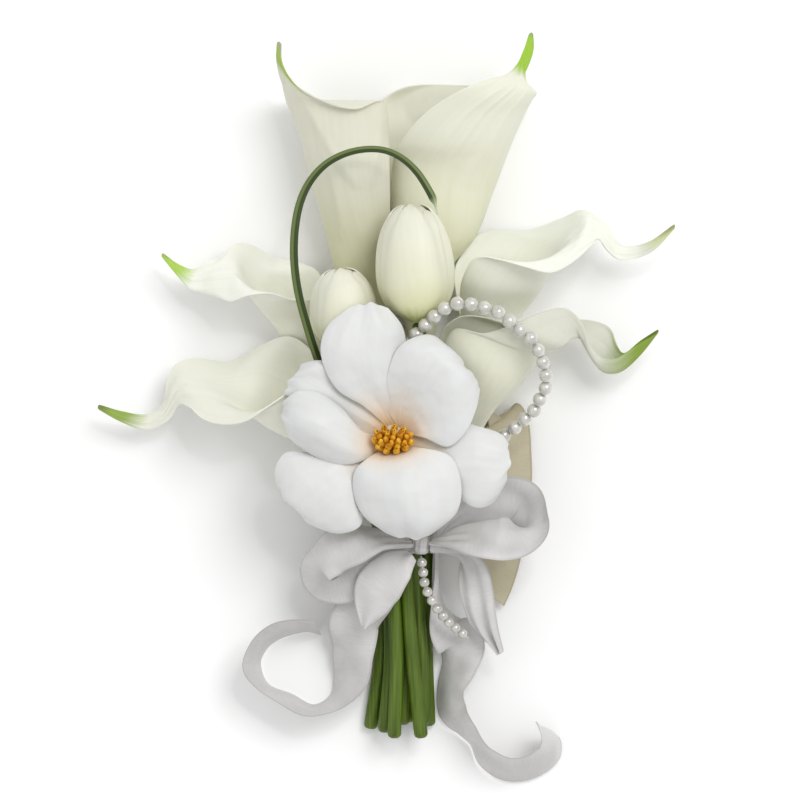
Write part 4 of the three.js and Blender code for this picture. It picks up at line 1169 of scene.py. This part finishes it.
# Half the width of the dry tip, and where the blade narrows to it
BLADE_TIP_HALF = 0.25
BLADE_TIP_START = 0.968
BLADE_TIP_END = 0.985


def make_blade():
    """A blade folded along its rib. It narrows where it twists, and a thin dry tip stands out of its end."""
    line = Line(BLADE_PATH)

    def at(u, v):
        along = line.direction(u * line.length)
        out = Vector((along.y, -along.x, 0)).normalized()
        up = out.cross(along).normalized()
        w = 2 * v - 1
        twist = math.exp(-(((u - BLADE_APEX) / BLADE_TWIST) ** 2))
        half = BLADE_HALF_WIDTH - BLADE_NARROWS * twist
        half += (BLADE_TIP_HALF - half) * smooth_step(u, BLADE_TIP_START, BLADE_TIP_END)
        lift = BLADE_LEAN * twist * w + BLADE_CREASE * math.cos(9 * w) - BLADE_FOLD * abs(w) ** 1.3
        return line.point(u * line.length) + out * (half * w) + up * lift

    blade = surface("grass_leaf", *BLADE_GRID, at)
    thicken(blade, BLADE_THICK)
    show(blade, "grass_blade", blade_finish())


# Pearl strands: beads on a thread

THREAD_RADIUS = 0.5
THREAD_EDGE = 0.3
THREAD_STEP = 1.5
THREAD_SIDES = 10
UPPER_BEAD = 7
LOWER_BEAD = 5
# Where the first bead's middle lies, in beads from the thread's end
FIRST_BEAD = 0.75
BEAD_SEGMENTS = 28
BEAD_RINGS = 18
# Faces further out than this share of a bead's size are its two poles
POLE_SHARE = 0.475
HOLE_INSET = 0.15
UPPER_STRAND = [
    (11.8, 24, 46.5), (10.5, 31, 52.5), (15.5, 37.5, 57.5), (20, 42, 60.5), (24, 46, 63.5), (28.5, 49.5, 66),
    (33, 52, 68), (39.7, 53, 68.5), (46.5, 51, 68.5), (54, 49.5, 68.5), (60, 45.5, 68), (65.5, 40.5, 67),
    (72, 36, 65.5), (76, 29.5, 64), (78.5, 23.3, 61.5), (80, 16, 59), (79.5, 9.8, 56), (76.5, 4.5, 53),
    (74, -0.5, 50), (69.5, -4.5, 47.3), (65, -8.5, 45), (60.5, -12, 43), (54, -15.5, 41), (46, -17.5, 37.5),
    (38.5, -17, 34.2),
]
LOWER_STRAND = [
    (18, -72.9, 31), (18.6, -78, 33), (19.3, -83, 33), (20, -88, 33), (22, -92.5, 32.5), (24.5, -97, 31.5),
    (27.3, -101, 30), (30.5, -105, 27.5), (34.2, -108.3, 25), (38, -111.5, 22.5), (42, -114.5, 20.5),
]


def make_bead(size):
    """One pearl at the origin, with the thread hole dimpled into its two poles."""
    bpy.ops.object.select_all(action="DESELECT")
    bpy.ops.mesh.primitive_uv_sphere_add(segments=BEAD_SEGMENTS, ring_count=BEAD_RINGS, radius=size / 2 * MM)
    bead = bpy.context.object
    mesh = bead.data
    for part in (*mesh.vertices, *mesh.edges):
        part.select = False
    for face in mesh.polygons:
        face.select = all(abs(mesh.vertices[k].co.z) > size * POLE_SHARE * MM for k in face.vertices)
    bpy.ops.object.mode_set(mode="EDIT")
    bpy.ops.mesh.select_mode(type="FACE")
    bpy.ops.mesh.inset(thickness=HOLE_INSET * MM)
    bpy.ops.transform.resize(value=(0.6, 0.6, 0.9), center_override=(0, 0, 0))
    bpy.ops.object.mode_set(mode="OBJECT")
    bpy.ops.object.shade_smooth()
    return bead


def make_strand(name, points, size, finish):
    """Beads that touch, each turned along the thread."""
    line = Line(points)
    rings = rounded_rings(line.length, THREAD_RADIUS, THREAD_EDGE, THREAD_STEP)
    thread = tube(f"{name}_thread", points, rings, THREAD_SIDES)
    first = make_bead(size)
    beads = []
    mark = FIRST_BEAD * size
    while mark < line.length - size / 2:
        bead = first.copy()
        bead.data = first.data.copy()
        bpy.context.collection.objects.link(bead)
        turn = line.direction(mark).to_track_quat("Z", "Y").to_matrix().to_4x4()
        bead.data.transform(Matrix.Translation((line.point(mark) + SHIFT) * MM) @ turn)
        beads.append(bead)
        mark += size
    bpy.data.objects.remove(first)
    beads = join(f"{name}_beads", beads)
    for piece in (thread, beads):
        show(piece, name, finish)


# Ribbon pieces. Each point: x, y, z, roll of the ribbon about its line in degrees, width

W = RIBBON_WIDTH
RIBBONS = {
    "bow_left_loop": [
        (13, -66, 36.5, 75, 9), (-2, -63.5, 43, 50, 18), (-15, -66, 46, 32, W), (-26, -71, 43, 30, W),
        (-33, -79, 38, 50, W), (-29, -85, 33.5, 25, W), (-17, -83.5, 32.5, 5, W), (-3, -75.5, 33, 25, 18),
        (13, -69, 31, 65, 8),
    ],
    "bow_right_loop": [
        (23.4, -66, 36.5, 105, 9), (37, -64, 43, 130, 18), (50, -64.5, 46, 143, W), (62, -64, 44, 150, W),
        (73.5, -58.5, 38, 130, W), (69, -46, 32, 150, W), (57, -45, 31, 160, W), (38, -53, 31, 140, 18),
        (23.6, -65.5, 29, 110, 8),
    ],
    "bow_left_short_tail": [
        (13, -72, 37.5, 25, 8), (6, -77.5, 39.5, 12, 19), (-3, -88, 39, 6, 24), (-7, -98, 36.5, 4, 18),
        (-10.5, -109, 33.5, 0, 3),
    ],
    "bow_right_short_tail": [
        (22.8, -69.6, 33, 80, 8), (31, -70, 34, 85, 8), (38, -71.5, 34.5, 70, 12), (43, -79, 34, 35, 17),
        (45.5, -92, 32, 20, 18), (49, -107, 28.5, 28, 15), (57.5, -122, 25, 40, 4),
    ],
    "bow_left_long_tail": [
        (7, -76.5, 25.4, 0, 13), (1.5, -84, 25.6, 4, 19), (-6, -93, 25, 6, 23), (-15, -105, 21, 5, W),
        (-16.5, -122, 15.5, 33, W), (-18, -135, 13, 45, W), (-25, -146, 12.5, 68, W),
        (-37, -150.5, 13, 80, W), (-49, -145, 13, 74, W), (-60.5, -139, 13, 77, W),
        (-66.5, -129, 13, 71, W), (-63, -118.5, 13, 69, W), (-54, -111.5, 13, 70, W),
        (-40, -109, 13, 72, W), (-31.5, -110, 13, 72, W),
    ],
    "bow_right_long_tail": [
        (26, -68.5, 9.5, -90, 12), (26.4, -84, 11, -88, 14), (27.2, -98, 12, -72, 20),
        (31, -109, 13, -40, 24), (38, -118, 13, 12, W), (37, -128, 12.5, 45, W),
        (32.5, -140, 12.5, 57, W), (33.5, -151, 12.5, 52, W), (40, -160, 13, 70, W),
        (45, -166.5, 13, 72, W), (51, -175, 13, 62, W), (62, -181, 13, 61, W), (73, -179.5, 13, 58, W),
        (82.5, -173, 13, 60, W), (83.5, -165, 13, 67, W), (78, -154, 13, 72, 20),
    ],
    "backing_ribbon": [
        (26, -66.3, 9.5, 80, 13), (37.5, -50, 4.5, 15, 20), (48, -20, 3.2, 8, 22), (54, -3.5, 4.6, 10, 22),
        (60, -4, 9, 165, 22), (62, -25, 11, 160, W), (61.5, -45, 11.5, 155, W), (59, -65, 11.5, 150, W),
        (55, -82, 11.5, 150, W), (50, -95, 11.5, 145, W),
    ],
}
# How crumpled each piece of ribbon is, and how slanted its free end is cut
CRUMPLE = {
    "bow_left_loop": 0.7, "bow_right_loop": 1.0, "bow_left_short_tail": 0.6, "bow_right_short_tail": 0.7,
    "bow_left_long_tail": 0.45, "bow_right_long_tail": 0.45, "backing_ribbon": 0.25,
}
END_SLANT = {"bow_left_long_tail": 0.02, "bow_right_long_tail": -0.035, "backing_ribbon": 0.03}
# Depth and number of the pleats where a ribbon is gathered
GATHERS = {"bow_left_short_tail": (1.3, 1), "bow_right_short_tail": (1.9, 2)}
PLAIN_GATHER = (1.1, 3)
# The slow wave of the edges and the two creases, and how much the edges stand up
WAVE_LENGTH = 31
WAVE_HEIGHT = 0.9
SHORT_CREASE = 0.3
LONG_CREASE = 0.45
EDGE_RISE = 0.5
# The grid: columns, the length of a row and the fewest rows
RIBBON_COLUMNS = 18
RIBBON_ROW = 1.5
RIBBON_LEAST_ROWS = 44


def ribbon_surface(name, points, length):
    """The ribbon along its line: rolled and narrowed from point to point, pleated where it is gathered."""
    path = smooth_curve([p[:3] for p in points])
    rolls = smooth_curve([(p[3], p[4], 0) for p in points])
    crumple, slant = CRUMPLE[name], END_SLANT.get(name, 0)
    depth, pleats = GATHERS.get(name, PLAIN_GATHER)
    step = 0.002

    def at(u, v):
        w = 2 * v - 1
        u = u - slant * w * u**6 - abs(slant) * u**6
        along = (path(u + step) - path(u - step)).normalized()
        flat = Vector((-along.y, along.x, 0)).normalized()
        up = along.cross(flat).normalized()
        roll, width, _ = rolls(u)
        angle = math.radians(roll)
        across = flat * math.cos(angle) + up * math.sin(angle)
        gathered = smooth_step(W - width, 1, 14)
        lift = depth * gathered * math.sin(2 * math.pi * pleats * v + 0.6)
        distance = u * length
        wave = math.sin(2 * math.pi * distance / WAVE_LENGTH + 1.5 * w) * w * w
        crease = SHORT_CREASE * math.sin(distance / 4.3 + 4 * w + 1.3 * math.sin(distance / 7))
        crease += LONG_CREASE * math.sin(distance / 7.3 - 5 * w)
        lift += crumple * (WAVE_HEIGHT * wave + crease) * (1 - 0.6 * gathered) + EDGE_RISE * w * w
        p = path(u) + across * (width * w / 2) + across.cross(along) * lift
        p.z = max(p.z, RIBBON_THICK / 2)
        return p

    return at


def make_ribbons(satin, shaded_beige):
    """The loops and tails of the bow, and the ribbon behind them, champagne satin painted in its shaded
    tone.
    """
    for name, points in RIBBONS.items():
        length = Line([p[:3] for p in points]).length
        rows = max(RIBBON_LEAST_ROWS, round(length / RIBBON_ROW))
        at = ribbon_surface(name, points, length)
        piece = surface(f"{name}_cloth", rows, RIBBON_COLUMNS, at, (length, W))
        thicken(piece, RIBBON_THICK)
        slot, finish = ("backing_ribbon", shaded_beige) if name == "backing_ribbon" else ("satin_ribbon", satin)
        show(piece, name, finish)


# The ribbon band round the stems at the tie, and the knot on it

BAND_MIDDLE = (9, 13)
BAND_TOP = -61
BAND_LENGTH = 11
BAND_GAP = 0.5
# Half the thickness of the CAD band, whose middle line the cloth follows
BAND_HALF_THICK = 0.3
# The band is pulled tight: it lies on the flattest line within this turn to either side, tried in steps
BAND_SWEEP = 1.4
BAND_TRIES = 40
BAND_ROWS = 8
BAND_SIDES = 72
BAND_PUFF = 0.25
KNOT_CENTRE = (18, -67, 31)
KNOT_SIZE = (8.6, 10.4, 18)
KNOT_GRID = (28, 108)
KNOT_PINCH = 0.08
KNOT_PLEATS = 9
KNOT_PLEAT_DEPTH = 0.045


def band_outline(lines, y):
    """The angles and radii of the tight line round all the stems at that height."""
    centres = [min(line.points, key=lambda p: abs(p.y - y)) for line in lines]

    def reach(angle):
        across, up = math.cos(angle), math.sin(angle)
        out = [(c.x - BAND_MIDDLE[0]) * across + (c.z - BAND_MIDDLE[1]) * up for c in centres]
        return max(out) + STEM_RADIUS + BAND_GAP + BAND_HALF_THICK

    turns = [BAND_SWEEP * (2 * k / BAND_TRIES - 1) for k in range(BAND_TRIES + 1)]
    angles = [2 * math.pi * k / BAND_SIDES for k in range(BAND_SIDES + 1)]
    return angles, [min(reach(angle + turn) / math.cos(turn) for turn in turns) for angle in angles]


def make_band(satin):
    """The band of cloth round the stems."""
    lines = [Line(points + stem_end(name)) for name, points in STEMS.items()]
    heights = [BAND_TOP - BAND_LENGTH * i / BAND_ROWS for i in range(BAND_ROWS + 1)]
    outlines = [band_outline(lines, y) for y in heights]

    def at(u, v):
        row, k = round(u * BAND_ROWS), round(v * BAND_SIDES)
        angles, radii = outlines[row]
        r = radii[k] + BAND_PUFF * math.sin(math.pi * 6 * u) ** 2
        x, z = BAND_MIDDLE
        return Vector((x + r * math.cos(angles[k]), heights[row], z + r * math.sin(angles[k])))

    around = sum(outlines[0][1][:BAND_SIDES]) * 2 * math.pi / BAND_SIDES
    band = surface("ribbon_wrap", BAND_ROWS, BAND_SIDES, at, (BAND_LENGTH, around))
    close_seams(band)
    thicken(band, RIBBON_THICK)
    show(band, "ribbon_band", satin)


def make_knot(satin):
    """A gathered wrap, pinched at its middle. Its pleats run along it, from the flowers to the stems."""
    width, length, depth = KNOT_SIZE

    def at(u, v):
        lift = math.pi * (u - 0.5)
        turn = 2 * math.pi * v
        pinch = 1 - KNOT_PINCH * math.exp(-((math.sin(lift) / 0.35) ** 2))
        pleat = 1 + KNOT_PLEAT_DEPTH * math.sin(KNOT_PLEATS * turn + 1.2 * math.sin(lift)) * math.cos(lift)
        radius = 0.5 * abs(math.cos(lift)) ** 0.45 * pinch * pleat
        x, z = width * radius * math.cos(turn), depth * radius * math.sin(turn)
        return Vector(KNOT_CENTRE) + Vector((x, length / 2 * math.sin(lift), z))

    knot = surface("bow_knot", *KNOT_GRID, at, (length, depth))
    close_seams(knot)
    show(knot, "ribbon_knot", satin)


# The stage, in metres

FLOOR_SIZE = 12
FLOOR_DROP = 0.0005
FLOOR_COLOUR = (0.95, 0.95, 0.95, 1)
SKY_STRENGTH = 0.78
# Soft boxes: place, size and power
LAMPS = [((1.2, 1.2, 2.5), 1.4, 34), ((-1.4, 0.2, 2.3), 1.8, 3), ((0.4, 0.9, 2.2), 0.12, 2.5)]


def make_camera():
    bpy.ops.object.select_all(action="DESELECT")
    bpy.ops.object.camera_add(location=(*PICTURE_MIDDLE, CAMERA_PLANE + CAMERA_AWAY), rotation=(0, 0, 0))
    camera = bpy.context.object
    camera.data.sensor_width = SENSOR
    camera.data.lens = SENSOR * CAMERA_AWAY / PICTURE_WIDTH
    camera.data.clip_end = CAMERA_SEES
    bpy.context.scene.camera = camera


def make_stage():
    bpy.ops.object.select_all(action="DESELECT")
    bpy.ops.mesh.primitive_plane_add(size=FLOOR_SIZE, location=(0, 0, -FLOOR_DROP))
    floor = bpy.context.object
    floor.name = "floor"
    finish = Finish("floor_white", 0.9, Specular_IOR_Level=0.1)
    finish.shader.inputs["Base Color"].default_value = FLOOR_COLOUR
    floor.data.materials.append(finish.material)
    world = bpy.data.worlds.new("studio")
    bpy.context.scene.world = world
    world.use_nodes = True
    sky = world.node_tree.nodes["Background"]
    sky.inputs["Color"].default_value = WHITE
    sky.inputs["Strength"].default_value = SKY_STRENGTH
    for place, size, power in LAMPS:
        bpy.ops.object.light_add(type="AREA", location=place)
        light = bpy.context.object
        light.data.size = size
        light.data.energy = power
        light.rotation_euler = (-Vector(place)).to_track_quat("-Z", "Y").to_euler()
    bpy.context.scene.view_settings.view_transform = "Standard"


make_camera()
make_stage()
pearl = pearl_finish()
make_strand("pearl_strand_upper", UPPER_STRAND, UPPER_BEAD, pearl)
make_strand("pearl_strand_lower", LOWER_STRAND, LOWER_BEAD, pearl)
make_callas()
make_tulips()
make_open_flower()
make_stems()
make_blade()
satin = ribbon_finish("satin", rgb(212, 210, 209), rgb(197, 195, 194))
# The ribbon behind the bow is champagne satin in a darker tone: partly its own colour, partly painted shade.
shaded_beige = ribbon_finish("beige_ribbon_painted_shade", rgb(190, 182, 156), rgb(176, 168, 141))
make_ribbons(satin, shaded_beige)
make_band(satin)
make_knot(satin)
